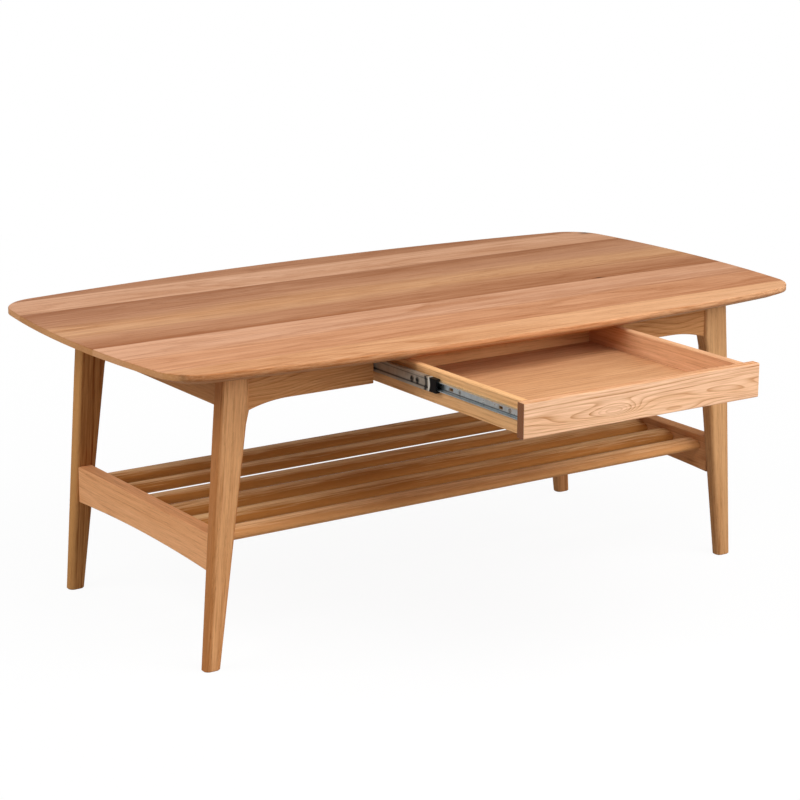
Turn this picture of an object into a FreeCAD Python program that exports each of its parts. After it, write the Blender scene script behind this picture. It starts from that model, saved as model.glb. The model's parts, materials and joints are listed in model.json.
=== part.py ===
"""Oak coffee table with a slatted shelf and one drawer on ball-bearing slides, drawn with the drawer open."""
import FreeCAD, Part
import math
import os
import re
import Sketcher

# Driving dimensions in millimetres, but for ratios, which end in share, and counts, which end in count.
SIZES = {
    # Table top
    "table_height": 450,
    "top_length": 1160,
    "top_width": 635,
    "top_thickness": 18,
    "side_bow": 40.5,
    "end_bow": 24,
    "corner_radius": 68,
    "top_edge_height": 9,
    "top_bevel_width": 22,
    "top_edge_round": 2,
    # Legs
    "leg_end_overhang": 122.5,
    "leg_side_overhang": 106.3,
    "foot_splay": 33.5,
    "foot_width": 26.4,
    "foot_thickness": 19.5,
    "foot_round": 8.5,
    "foot_edge": 1.2,
    "leg_top_width": 41,
    "leg_thickness": 25,
    "leg_flare_height": 36.5,
    "leg_knee_width": 41.6,
    "leg_round": 4.5,
    "leg_bend_share": 0.34,
    # Aprons
    "apron_height": 50,
    "apron_thickness": 16,
    "apron_edge_bevel": 1.2,
    "haunch_run": 66,
    "haunch_drop": 10.5,
    "end_apron_height": 54,
    "end_apron_setback": 5,
    # Mortise and tenon joints
    "tenon_thickness": 8,
    "tenon_depth": 13,
    "tenon_shoulder": 7,
    "tenon_clearance": 0.2,
    # Stretchers and shelf slats
    "stretcher_setback": 3.7,
    "stretcher_thickness": 24,
    "stretcher_height": 57,
    "stretcher_arch": 6.5,
    "stretcher_top": 197,
    "stretcher_edge_bevel": 1.5,
    "slat_count": 6,
    "slat_pitch": 66,
    "slat_slip": 2,
    "slat_width": 41,
    "slat_thickness": 18,
    "slat_axis_height": 180,
    "slat_tenon_diameter": 11,
    "slat_tenon_length": 14,
    # Rails that carry the slides
    "rail_thickness": 18,
    "rail_height": 46,
    "rail_tenon_depth": 8,
    # Drawer
    "drawer_stay": 8,
    "drawer_rear_space": 45.4,
    "drawer_front_width": 414.4,
    "drawer_front_height": 49.5,
    "drawer_front_thickness": 15,
    "drawer_front_round": 1.6,
    "drawer_side_gap": 1.3,
    "drawer_top_gap": 2,
    "drawer_side_drop": 2,
    "drawer_side_height": 47.5,
    "drawer_side_thickness": 12,
    "drawer_edge_bevel": 1.5,
    "drawer_back_thickness": 12,
    "drawer_back_setback": 12,
    "bottom_thickness": 5,
    "bottom_lift": 8.5,
    "groove_depth": 6,
    "groove_clearance": 0.2,
    "dowel_diameter": 6,
    "dowel_length": 22,
    "dowel_bite": 9,
    "dowel_spacing": 20,
    "dowel_clearance": 0.1,
    # Drawer slides
    "slide_space": 12.5,
    "slide_drop": 23,
    "slide_sheet_thickness": 1.2,
    "slide_end_gap": 1,
    "outer_height": 27,
    "outer_depth": 9,
    "slide_rear_space": 55.4,
    "middle_height": 20,
    "middle_depth": 7.2,
    "middle_inset": 3,
    "middle_setback": 28,
    "middle_rear_gap": 2,
    "inner_height": 13.6,
    "inner_depth": 6.3,
    "inner_rear_gap": 16,
    "cap_length": 19,
    "cap_clearance": 0.4,
    "lever_setback": 5,
    "lever_length": 40,
    "lever_thickness": 3.2,
    "lever_clearance": 0.4,
    "cage_sheet_thickness": 0.6,
    "cage_clearance": 0.6,
    "cage_end_gap": 20,
    "ball_count": 6,
    "ball_clearance": 0.15,
    "slot_width": 4.5,
    "slot_length": 9,
    "slot_offset": 20,
    "middle_hole_setback": 26,
    "middle_hole_pitch": 13.5,
    # Fasteners
    "screw_diameter": 3.5,
    "screw_head_diameter": 7,
    "screw_head_height": 2,
    "screw_bite": 10,
    "screw_clearance": 0.1,
    "slide_screw_count": 3,
    "slide_screw_margin": 28,
    "slide_screw_pitch": 114,
    "bracket_length": 25,
    "bracket_leaf_width": 18,
    "bracket_thickness": 2,
    "bracket_inset": 110,
    # Every cut runs past the face that it opens by this much
    "overrun": 2,
}

# Places and sizes that follow from the driving dimensions. X runs along the table, -Y is the drawer's side.
PLACES = {
    "underside": "table_height - top_thickness",
    "corner_x": "top_length / 2 - end_bow",
    "corner_y": "top_width / 2 - side_bow",
    "side_radius": "(corner_x ^ 2 + side_bow ^ 2) / (2 * side_bow)",
    "end_radius": "(corner_y ^ 2 + end_bow ^ 2) / (2 * end_bow)",
    "bevel_height": "top_thickness - top_edge_height",
    "leg_y": "top_width / 2 - leg_side_overhang",
    "leg_outer_x": "top_length / 2 - leg_end_overhang",
    "foot_outer_x": "leg_outer_x + foot_splay",
    "foot_inner_x": "foot_outer_x - foot_width",
    "leg_inner_x": "leg_outer_x - leg_top_width",
    "leg_lean": "(foot_outer_x - leg_outer_x) / underside",
    "apron_low": "underside - apron_height",
    "haunch_low": "apron_low - haunch_drop",
    "haunch_start_x": "leg_inner_x - haunch_run",
    "haunch_radius": "(haunch_run ^ 2 + haunch_drop ^ 2) / (2 * haunch_drop)",
    "haunch_outer_x": "foot_outer_x - leg_lean * haunch_low",
    "knee_height": "haunch_low - leg_flare_height",
    "bend_height": "(knee_height + haunch_low) / 2",
    "bend_outer_x": "foot_outer_x - leg_lean * bend_height",
    "knee_outer_x": "foot_outer_x - leg_lean * knee_height",
    "knee_inner_x": "knee_outer_x - leg_knee_width",
    "bend_inner_x": "knee_inner_x - (knee_inner_x - leg_inner_x) * leg_bend_share",
    "apron_face": "leg_y + apron_thickness / 2",
    "apron_back": "leg_y - apron_thickness / 2",
    "leg_inside_y": "leg_y - leg_thickness / 2",
    "end_apron_outer_x": "leg_outer_x - end_apron_setback",
    "end_apron_inner_x": "end_apron_outer_x - apron_thickness",
    "end_apron_low": "underside - end_apron_height",
    "stretcher_outer_x": "foot_outer_x - leg_lean * stretcher_top - stretcher_setback",
    "stretcher_inner_x": "stretcher_outer_x - stretcher_thickness",
    "stretcher_low": "stretcher_top - stretcher_height",
    "leg_taper": "(leg_thickness - foot_thickness) / knee_height",
    "stretcher_half": "leg_y - (foot_thickness + leg_taper * stretcher_top) / 2",
    "stretcher_radius": "(stretcher_half ^ 2 + stretcher_arch ^ 2) / (2 * stretcher_arch)",
    "opening_half": "drawer_front_width / 2 + drawer_side_gap",
    "long_bracket_x": "(opening_half + rail_thickness + leg_inner_x) / 2",
    "end_bracket_y": "leg_inside_y - bracket_inset",
    "box_half": "opening_half - slide_space",
    "box_inside": "box_half - drawer_side_thickness",
    "drawer_side_length": "apron_face + apron_back - drawer_front_thickness - drawer_rear_space",
    "drawer_travel": "drawer_side_length - drawer_stay",
    "front_y": "-(apron_face + drawer_travel)",
    "front_back_y": "front_y + drawer_front_thickness",
    "front_top": "underside - drawer_top_gap",
    "front_low": "front_top - drawer_front_height",
    "side_top": "front_top - drawer_side_drop",
    "side_low": "side_top - drawer_side_height",
    "side_end_y": "front_back_y + drawer_side_length",
    "back_end_y": "side_end_y - drawer_back_setback",
    "back_y": "back_end_y - drawer_back_thickness",
    "bottom_low": "side_low + bottom_lift",
    "bottom_top": "bottom_low + bottom_thickness",
    "slide_z": "underside - slide_drop",
    "outer_y": "slide_end_gap - apron_back",
    "outer_length": "2 * apron_back - slide_end_gap - slide_rear_space",
    "middle_y": "outer_y + middle_setback - drawer_travel / 2",
    "middle_length": "outer_length - middle_setback - middle_rear_gap",
    "inner_y": "front_back_y + slide_end_gap",
    "inner_length": "drawer_side_length - slide_end_gap - inner_rear_gap",
    "outer_cage_height": "(outer_height + middle_height) / 2 - slide_sheet_thickness + cage_sheet_thickness",
    "inner_cage_height": "(middle_height + inner_height) / 2 - slide_sheet_thickness + cage_sheet_thickness",
    "outer_ball_gap": "(outer_height - middle_height) / 2 - slide_sheet_thickness",
    "inner_ball_gap": "(middle_height - inner_height) / 2 - slide_sheet_thickness",
    "outer_cage_y": "outer_y + cage_end_gap",
    "outer_cage_length": "middle_y + middle_length - outer_y - 2 * cage_end_gap",
    "inner_cage_y": "middle_y + cage_end_gap",
    "inner_cage_length": "inner_y + inner_length - middle_y - 2 * cage_end_gap",
    "outer_cage_x": "slide_sheet_thickness + cage_clearance",
    "inner_cage_x": "middle_inset + slide_sheet_thickness + cage_clearance",
}

# How each slat is fitted, from the front: its turn on its round tenons in degrees, and its slips to the rear.
SLAT_FITS = ((1, 0), (3, 0), (4, 0), (-4, 0), (-4, 1), (0, 0))

doc = FreeCAD.newDocument("coffee_table")
sheets = {"Sizes": SIZES, "Places": PLACES}
nodes = []

UP = FreeCAD.Vector(0, 0, 1)
ALONG_X = FreeCAD.Rotation(FreeCAD.Vector(0, 1, 0), 90)
ALONG_Y = FreeCAD.Rotation(FreeCAD.Vector(1, 0, 0), -90)
ALONG_Z = FreeCAD.Rotation()
HALF_TURN = FreeCAD.Rotation(UP, 180)
SIDE_SWAP = FreeCAD.Rotation(FreeCAD.Vector(0, 1, 0), 180)


def ex(text):
    """Turns a formula in plain size names into one in cell references."""
    def cell(match):
        word = match.group()
        return next((f"{sheet}.{word}" for sheet, cells in sheets.items() if word in cells), word)
    return re.sub(r"[a-z]\w*", cell, text)


def fill_sheets():
    """Writes the driving dimensions and the places that follow from them into two sheets."""
    for title, cells in sheets.items():
        sheet = doc.addObject("Spreadsheet::Sheet", title)
        for row, (alias, content) in enumerate(cells.items(), start=1):
            sheet.set(f"A{row}", alias)
            sheet.set(f"B{row}", str(content) if title == "Sizes" else "=" + ex(content))
            sheet.setAlias(f"B{row}", alias)
    doc.recompute()


def value(text):
    """The number that a formula in size names comes to."""
    return float(doc.Sizes.evalExpression(ex(text)))


def bind(item, formulas):
    """Ties properties of an object to formulas in size names."""
    for path, text in formulas.items():
        item.setExpression(path, ex(text))


def place(item, spot, turn=ALONG_Z):
    """Turns an object and ties the place of its origin to three formulas."""
    item.Placement = FreeCAD.Placement(FreeCAD.Vector(), turn)
    bind(item, {f"Placement.Base.{axis}": text for axis, text in zip("xyz", spot)})
    return item


def box(name, spans):
    """A block between three pairs of formulas: from and to along X, Y and Z."""
    block = doc.addObject("Part::Box", name)
    lengths = [f"({high}) - ({low})" for low, high in spans]
    bind(block, dict(zip(("Length", "Width", "Height"), lengths)))
    return place(block, [low for low, _ in spans])


def rod(name, diameter, length, spot, turn=ALONG_Z):
    """A cylinder that starts at a spot and runs along a turned Z axis."""
    bar = doc.addObject("Part::Cylinder", name)
    bind(bar, {"Radius": f"({diameter}) / 2", "Height": length})
    return place(bar, spot, turn)


def ball(name, diameter, spot):
    """A bearing ball about a spot."""
    sphere = doc.addObject("Part::Sphere", name)
    bind(sphere, {"Radius": f"({diameter}) / 2"})
    return place(sphere, spot)


def join(name, shapes):
    """One solid out of several shapes that touch."""
    fuse = doc.addObject("Part::MultiFuse", name)
    fuse.Shapes = shapes
    fuse.Refine = True
    return fuse


def group(name, shapes):
    """Separate solids that share one node."""
    compound = doc.addObject("Part::Compound", name)
    compound.Links = shapes
    return compound


def cut(name, base, tools):
    """A shape with other shapes taken out of it."""
    difference = doc.addObject("Part::Cut", name)
    difference.Base = base
    difference.Tool = tools[0] if len(tools) == 1 else group(name + "_tools", tools)
    return difference


def node(item, label):
    """Names a finished piece and keeps it for the hand-over."""
    item.Label = label
    nodes.append(item)
    return item


def bowed(start, stop, radius, side):
    """An arc from start to stop that bulges to the left of the way (side 1) or to the right (side -1)."""
    chord = stop - start
    sagitta = radius - math.sqrt(radius ** 2 - (chord.Length / 2) ** 2)
    left = FreeCAD.Vector(-chord.y, chord.x, 0).normalize()
    return Part.Arc(start, (start + stop) / 2 + left * sagitta * side, stop)


def outline(body, name, plane, corners, arcs=None, lift=None):
    """A closed sketch through corners given as formulas, with some of its sides bowed.

    arcs maps the corner where a bowed side starts to its radius formula and its side of bulge.
    """
    sketch = body.newObject("Sketcher::SketchObject", name)
    sketch.AttachmentSupport = [(next(f for f in body.Origin.OriginFeatures if f.Role == plane), "")]
    sketch.MapMode = "FlatFace"
    if lift:
        bind(sketch, {"AttachmentOffset.Base.z": lift})
    arcs = arcs or {}
    spots = [FreeCAD.Vector(value(across), value(up), 0) for across, up in corners]
    ends = []
    for index, start in enumerate(spots):
        stop = spots[(index + 1) % len(spots)]
        if index in arcs:
            radius, side = arcs[index]
            sketch.addGeometry(bowed(start, stop, value(radius), side))
        else:
            sketch.addGeometry(Part.LineSegment(start, stop))
        offsets = [sketch.getPoint(index, end).distanceToPoint(start) for end in (1, 2)]
        ends.append((1, 2) if offsets[0] < offsets[1] else (2, 1))
    for index, (across, up) in enumerate(corners):
        before = (index - 1) % len(corners)
        point = (index, ends[index][0])
        sketch.addConstraint(Sketcher.Constraint("Coincident", before, ends[before][1], *point))
        for kind, text in (("DistanceX", across), ("DistanceY", up)):
            tie(sketch, Sketcher.Constraint(kind, -1, 1, *point, value(text)), text)
    for index, (radius, _) in arcs.items():
        tie(sketch, Sketcher.Constraint("Radius", index, value(radius)), radius)
    return sketch


def tie(sketch, constraint, text):
    """Adds a sketch dimension that follows a formula."""
    number = sketch.addConstraint(constraint)
    sketch.setExpression(f"Constraints[{number}]", ex(text))


def pad(body, sketch, length, midplane=False):
    """Gives a sketch its thickness."""
    feature = body.newObject("PartDesign::Pad", body.Name + "_pad")
    feature.Profile = sketch
    feature.Midplane = midplane
    bind(feature, {"Length": length})
    doc.recompute()
    return feature


def edge_names(feature, picks):
    """The names of a feature's edges for which picks is true."""
    return [f"Edge{i}" for i, edge in enumerate(feature.Shape.Edges, start=1) if picks(edge)]


def rounded(body, feature, radius, picks):
    """Rounds the edges of a feature for which picks is true."""
    fillet = body.newObject("PartDesign::Fillet", feature.Name + "_round")
    fillet.Base = (feature, edge_names(feature, picks))
    bind(fillet, {"Radius": radius})
    doc.recompute()
    return fillet


def bevelled(body, feature, sizes, picks):
    """Bevels the edges of a feature for which picks is true, by one size or by two."""
    bevel = body.newObject("PartDesign::Chamfer", feature.Name + "_bevel")
    bevel.Base = (feature, edge_names(feature, picks))
    bevel.ChamferType = "Two distances" if len(sizes) > 1 else "Equal distance"
    bind(bevel, dict(zip(("Size", "Size2"), sizes)))
    doc.recompute()
    return bevel


def heights(edge):
    """Lowest and highest Z of an edge."""
    return edge.BoundBox.ZMin, edge.BoundBox.ZMax


def rises(edge):
    """True for an edge that climbs from one height to another."""
    low, high = heights(edge)
    return high - low > value("top_edge_round") / 2


def runs(edge):
    """True for an edge that is longer along X or Y than any board is thick, and doesn't stand upright."""
    reach = max(edge.BoundBox.XLength, edge.BoundBox.YLength)
    return reach > value("stretcher_thickness") and reach > edge.BoundBox.ZLength


def board(name, plane, corners, thickness, spot, arcs=None, midplane=False, bevel=None, picks=runs):
    """A piece of wood cut to an outline, with its long edges eased by a bevel."""
    body = doc.addObject("PartDesign::Body", name)
    place(body, spot)
    plank = pad(body, outline(body, name + "_outline", plane, corners, arcs), thickness, midplane)
    if bevel:
        bevelled(body, plank, [bevel], picks)
    return body


def pilot(name, spot, turn=ALONG_Z):
    """The hole of a wood screw, from before the face of the wood to the screw's tip."""
    depth = "overrun + screw_bite + screw_clearance"
    return rod(name, "screw_diameter + 2 * screw_clearance", depth, spot, turn)


def on_underside(edge):
    """True for an edge of the top's lower face, in the top's own frame."""
    return heights(edge)[1] < value("top_edge_round / 2")


def on_upper_face(edge):
    """True for an edge of the top's upper face, in the top's own frame."""
    return heights(edge)[0] > value("top_thickness - top_edge_round / 2")


def make_top():
    """The boat-shaped top: bowed sides, round corners, an upright edge and a wide bevel underneath."""
    body = doc.addObject("PartDesign::Body", "top_blank")
    place(body, ("0", "0", "underside"))
    corners = [("-corner_x", "-corner_y"), ("corner_x", "-corner_y"),
               ("corner_x", "corner_y"), ("-corner_x", "corner_y")]
    bows = {0: ("side_radius", -1), 1: ("end_radius", -1), 2: ("side_radius", -1), 3: ("end_radius", -1)}
    slab = pad(body, outline(body, "top_outline", "XY_Plane", corners, bows), "top_thickness")
    slab = rounded(body, slab, "corner_radius", rises)
    slab = bevelled(body, slab, ["bevel_height", "top_bevel_width"], on_underside)
    rounded(body, slab, "top_edge_round", on_upper_face)
    pilots = []
    for i, (x, y) in enumerate(top_screw_spots()):
        pilots.append(pilot(f"top_pilot_{i}", (x, y, "underside - overrun")))
    node(cut("table_top", body, pilots), "table_top")


def leg_section(body, index, inner, outer, thickness, radius, lift):
    """A level section through a leg: a rectangle with round corners, centred on the leg's own Y axis."""
    half = f"({thickness}) / 2"
    radius = f"({radius})"
    low_in, high_out = f"{inner} + {radius}", f"{outer} - {radius}"
    near, far = f"-{half} + {radius}", f"{half} - {radius}"
    corners = [(low_in, f"-{half}"), (high_out, f"-{half}"), (outer, near), (outer, far),
               (high_out, half), (low_in, half), (inner, far), (inner, near)]
    arcs = {start: (radius, -1) for start in (1, 3, 5, 7)}
    return outline(body, f"{body.Name}_section_{index}", "XY_Plane", corners, arcs, lift)


def make_leg(label, front, turn):
    """A splayed leg that swells from an oval foot to the aprons, with mortises on its inward sides."""
    body = doc.addObject("PartDesign::Body", label + "_blank")
    place(body, ("0", "-leg_y" if front else "leg_y", "0"))
    stages = [("foot_inner_x + foot_edge", "foot_outer_x - foot_edge", "foot_thickness - 2 * foot_edge",
               "foot_round - foot_edge", "0 * overrun"),
              ("foot_inner_x", "foot_outer_x", "foot_thickness", "foot_round", "foot_edge"),
              ("knee_inner_x", "knee_outer_x", "leg_thickness", "leg_round", "knee_height"),
              ("bend_inner_x", "bend_outer_x", "leg_thickness", "leg_round", "bend_height"),
              ("leg_inner_x", "haunch_outer_x", "leg_thickness", "leg_round", "haunch_low"),
              ("leg_inner_x", "leg_outer_x", "leg_thickness", "leg_round", "underside")]
    sections = [leg_section(body, index, *stage) for index, stage in enumerate(stages)]
    loft = body.newObject("PartDesign::AdditiveLoft", label + "_loft")
    loft.Profile = sections[0]
    loft.Sections = sections[1:]
    loft.Ruled = True
    doc.recompute()
    inwards = 1 if front else -1
    mortises = [apron_tenon(label + "_apron_mortise", -inwards, "tenon_clearance"),
                end_tenon(label + "_end_mortise", -inwards, "tenon_clearance"),
                stretcher_tenon(label + "_stretcher_mortise", -inwards, "tenon_clearance")]
    leg = cut(label, body, mortises)
    leg.Placement = FreeCAD.Placement(FreeCAD.Vector(), turn)
    node(leg, label)


def tongue(name, spans, clearance, way):
    """A tenon, or the mortise round it when a clearance is given; way is its axis and sign."""
    grown = []
    for index, (low, high) in enumerate(spans):
        if index != way[0]:
            grown.append((f"{low} - {clearance}", f"{high} + {clearance}"))
        elif way[1] > 0:
            grown.append((low, f"{high} + {clearance}"))
        else:
            grown.append((f"{low} - {clearance}", high))
    return box(name, grown)


def apron_tenon(name, side, clearance="0 * overrun", end=1):
    """The tenon of a long apron in a leg on the +X side (end 1) or -X side (end -1), at the front or rear."""
    centre = f"{side} * leg_y"
    tip, root = f"{end} * (leg_inner_x + tenon_depth)", f"{end} * leg_inner_x"
    spans = [(root, tip) if end > 0 else (tip, root),
             (f"{centre} - tenon_thickness / 2", f"{centre} + tenon_thickness / 2"),
             ("apron_low + tenon_shoulder", "underside - tenon_shoulder")]
    return tongue(name, spans, clearance, (0, end))


def end_tenon(name, side, clearance="0 * overrun"):
    """The tenon of the right end apron in the front or rear leg."""
    centre = "end_apron_outer_x - apron_thickness / 2"
    tip, root = f"{side} * (leg_inside_y + tenon_depth)", f"{side} * leg_inside_y"
    spans = [(f"{centre} - tenon_thickness / 2", f"{centre} + tenon_thickness / 2"),
             (root, tip) if side > 0 else (tip, root),
             ("end_apron_low + tenon_shoulder", "underside - tenon_shoulder")]
    return tongue(name, spans, clearance, (1, side))


def stretcher_tenon(name, side, clearance="0 * overrun"):
    """The tenon of the right stretcher in the front or rear leg."""
    centre = "stretcher_outer_x - stretcher_thickness / 2"
    tip, root = f"{side} * (stretcher_half + tenon_depth)", f"{side} * stretcher_half"
    spans = [(f"{centre} - tenon_thickness / 2", f"{centre} + tenon_thickness / 2"),
             (root, tip) if side > 0 else (tip, root),
             ("stretcher_low + stretcher_arch + tenon_shoulder", "stretcher_top - tenon_shoulder")]
    return tongue(name, spans, clearance, (1, side))


def rail_tenon(name, right, side, clearance="0 * overrun"):
    """The tenon of a slide rail in the front apron or the rear apron behind it."""
    centre = f"{right} * (opening_half + rail_thickness / 2)"
    tip, root = f"{side} * (apron_back + rail_tenon_depth)", f"{side} * apron_back"
    spans = [(f"{centre} - tenon_thickness / 2", f"{centre} + tenon_thickness / 2"),
             (root, tip) if side > 0 else (tip, root),
             ("underside - rail_height + tenon_shoulder", "underside - tenon_shoulder")]
    return tongue(name, spans, clearance, (1, side))


def haunched(edge):
    """True for the lower edges of an apron that run along it."""
    return runs(edge) and heights(edge)[1] < value("underside - apron_height / 2")


def make_front_apron(label, end):
    """The short apron from the drawer opening to a front leg (end 1 is +X), deeper where it meets the leg."""
    stops = [("opening_half", "apron_low"), ("haunch_start_x", "apron_low"), ("leg_inner_x", "haunch_low"),
             ("leg_inner_x", "underside"), ("opening_half", "underside")]
    corners = [(f"{end} * {across}", up) for across, up in stops]
    blank = board(label + "_blank", "XZ_Plane", corners, "apron_thickness", ("0", "-leg_y", "0"),
                  {1: ("haunch_radius", end)}, midplane=True, bevel="apron_edge_bevel", picks=haunched)
    joined = join(label + "_with_tenon", [blank, apron_tenon(label + "_tenon", -1, end=end)])
    holes = [rail_tenon(label + "_rail_mortise", end, -1, "tenon_clearance"),
             apron_pilot(label + "_pilot", f"{end} * long_bracket_x", -1)]
    node(cut(label, joined, holes), label)


def make_rear_apron():
    """The long rear apron, deeper where it meets the legs."""
    corners = [("-leg_inner_x", "haunch_low"), ("-haunch_start_x", "apron_low"),
               ("haunch_start_x", "apron_low"), ("leg_inner_x", "haunch_low"),
               ("leg_inner_x", "underside"), ("-leg_inner_x", "underside")]
    arcs = {0: ("haunch_radius", 1), 2: ("haunch_radius", 1)}
    blank = board("rear_apron_blank", "XZ_Plane", corners, "apron_thickness", ("0", "leg_y", "0"), arcs,
                  midplane=True, bevel="apron_edge_bevel", picks=haunched)
    tenons = []
    holes = []
    for name, end in (("right", 1), ("left", -1)):
        tenons.append(apron_tenon(f"rear_apron_tenon_{name}", 1, end=end))
        holes.append(rail_tenon(f"rear_apron_rail_mortise_{name}", end, 1, "tenon_clearance"))
        holes.append(apron_pilot(f"rear_apron_pilot_{name}", f"{end} * long_bracket_x", 1))
    node(cut("rear_apron", join("rear_apron_with_tenons", [blank] + tenons), holes), "rear_apron")


def apron_pilot(name, x, side):
    """The screw hole of a top bracket in a long apron."""
    spot = (x, f"{side} * (apron_back - overrun)", "underside - bracket_leaf_width / 2")
    return pilot(name, spot, ALONG_Y if side > 0 else ALONG_Y.inverted())


def make_end_apron(label, turn):
    """The straight apron across an end of the table."""
    corners = [("-leg_inside_y", "end_apron_low"), ("leg_inside_y", "end_apron_low"),
               ("leg_inside_y", "underside"), ("-leg_inside_y", "underside")]
    blank = board(label + "_blank", "YZ_Plane", corners, "apron_thickness", ("end_apron_inner_x", "0", "0"),
                  bevel="apron_edge_bevel", picks=haunched)
    tenons = []
    holes = []
    for i in (-1, 1):
        tenons.append(end_tenon(f"{label}_tenon_{i}", i))
        spot = ("end_apron_inner_x - overrun", f"{i} * end_bracket_y", "underside - bracket_leaf_width / 2")
        holes.append(pilot(f"{label}_pilot_{i}", spot, ALONG_X))
    apron = cut(label, join(label + "_with_tenons", [blank] + tenons), holes)
    apron.Placement = FreeCAD.Placement(FreeCAD.Vector(), turn)
    node(apron, label)


def slat_y(index):
    """Place of a shelf slat across the table, counted from the front."""
    return f"({index} - (slat_count - 1) / 2) * slat_pitch + {SLAT_FITS[index][1]} * slat_slip"


def make_stretcher(label, turn, way):
    """The arched stretcher between two legs with the slats' sockets; way is -1 where it is turned round."""
    corners = [("-stretcher_half", "stretcher_low"), ("stretcher_half", "stretcher_low"),
               ("stretcher_half", "stretcher_top"), ("-stretcher_half", "stretcher_top")]
    blank = board(label + "_blank", "YZ_Plane", corners, "stretcher_thickness",
                  ("stretcher_inner_x", "0", "0"), {0: ("stretcher_radius", 1)}, bevel="stretcher_edge_bevel")
    tenons = [stretcher_tenon(f"{label}_tenon_{i}", i) for i in (-1, 1)]
    joined = join(label + "_with_tenons", [blank] + tenons)
    sockets = [rod(f"{label}_socket_{i}", "slat_tenon_diameter + 2 * tenon_clearance",
                   "slat_tenon_length + tenon_clearance + overrun",
                   ("stretcher_inner_x - overrun", f"{way} * ({slat_y(i)})", "slat_axis_height"), ALONG_X)
               for i in range(SIZES["slat_count"])]
    stretcher = cut(label, joined, sockets)
    stretcher.Placement = FreeCAD.Placement(FreeCAD.Vector(), turn)
    node(stretcher, label)


def make_slat(index):
    """An oval shelf bar with a round tenon at each end."""
    label = f"shelf_slat_{index + 1}"
    flat = FreeCAD.Rotation(FreeCAD.Vector(0, 1, 0), UP, FreeCAD.Vector(1, 0, 0), "ZXY")
    turn = FreeCAD.Rotation(FreeCAD.Vector(1, 0, 0), SLAT_FITS[index][0])
    oval = doc.addObject("Part::Ellipse", label + "_section")
    bind(oval, {"MajorRadius": "slat_width / 2", "MinorRadius": "slat_thickness / 2"})
    place(oval, ("-stretcher_inner_x", slat_y(index), "slat_axis_height"), turn.multiply(flat))
    bar = doc.addObject("Part::Extrusion", label + "_bar")
    bar.Base = oval
    bar.DirMode = "Custom"
    bar.Dir = FreeCAD.Vector(1, 0, 0)
    bar.Solid = True
    bind(bar, {"LengthFwd": "2 * stretcher_inner_x"})
    core = rod(label + "_tenons", "slat_tenon_diameter", "2 * (stretcher_inner_x + slat_tenon_length)",
               ("-(stretcher_inner_x + slat_tenon_length)", slat_y(index), "slat_axis_height"), ALONG_X)
    node(join(label, [bar, core]), label)


def slide_screw_y(start, index):
    """Place of one of the screws along a slide member."""
    return f"{start} + slide_screw_margin + {index} * slide_screw_pitch"


def make_rail(label, right):
    """The rail beside the drawer that carries a slide, let into the aprons in front and behind."""
    across = ["opening_half", "opening_half + rail_thickness"]
    if right < 0:
        across = [f"-({text})" for text in reversed(across)]
    upright = ("underside - rail_height", "underside")
    block = box(label + "_block", [across, ("-apron_back", "apron_back"), upright])
    tenons = [rail_tenon(f"{label}_tenon_{i}", right, i) for i in (-1, 1)]
    pilots = []
    for i in range(SIZES["slide_screw_count"]):
        spot = (f"{right} * (opening_half - overrun)", slide_screw_y("outer_y", i), "slide_z")
        pilots.append(pilot(f"{label}_pilot_{i}", spot, ALONG_X if right > 0 else ALONG_X.inverted()))
    node(cut(label, join(label + "_with_tenons", [block] + tenons), pilots), label)


def make_drawer_front():
    """The drawer front, with a groove for the bottom and holes for the dowels."""
    corners = [("-drawer_front_width / 2", "front_low"), ("drawer_front_width / 2", "front_low"),
               ("drawer_front_width / 2", "front_top"), ("-drawer_front_width / 2", "front_top")]
    blank = board("drawer_front_blank", "XZ_Plane", corners, "drawer_front_thickness",
                  ("0", "front_y + drawer_front_thickness / 2", "0"), midplane=True)
    rounded(blank, blank.Tip, "drawer_front_round", lambda edge: True)
    groove = box("drawer_front_groove", [("-box_inside - groove_depth", "box_inside + groove_depth"),
                                         ("front_back_y - groove_depth", "front_back_y + overrun"),
                                         ("bottom_low - groove_clearance", "bottom_top + groove_clearance")])
    holes = front_dowels("drawer_front_hole", "dowel_clearance")
    node(cut("drawer_front", blank, [groove] + holes), "drawer_front")


def dowel(name, clearance, spot, turn):
    """A dowel, or its hole when a clearance is given."""
    return rod(name, f"dowel_diameter + 2 * {clearance}", f"dowel_length + 2 * {clearance}", spot, turn)


def front_dowels(name, clearance="0 * overrun"):
    """The dowels between the drawer front and its sides, or their holes when a clearance is given."""
    rods = []
    for right in (-1, 1):
        for up in (-1, 1):
            spot = (f"{right} * (box_half - drawer_side_thickness / 2)",
                    f"front_back_y - dowel_bite - {clearance}",
                    f"(bottom_top + side_top) / 2 + {up} * dowel_spacing / 2")
            rods.append(dowel(f"{name}_{right}_{up}", clearance, spot, ALONG_Y))
    return rods


def back_dowels(name, clearance="0 * overrun"):
    """The dowels between the drawer back and its sides, or their holes when a clearance is given."""
    rods = []
    for right in (-1, 1):
        for up in (-1, 1):
            spot = (f"{right} * (box_inside + dowel_bite + {clearance})",
                    "back_y + drawer_back_thickness / 2",
                    f"(bottom_top + side_top) / 2 + {up} * dowel_spacing / 2")
            inwards = ALONG_X.inverted() if right > 0 else ALONG_X
            rods.append(dowel(f"{name}_{right}_{up}", clearance, spot, inwards))
    return rods


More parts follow.
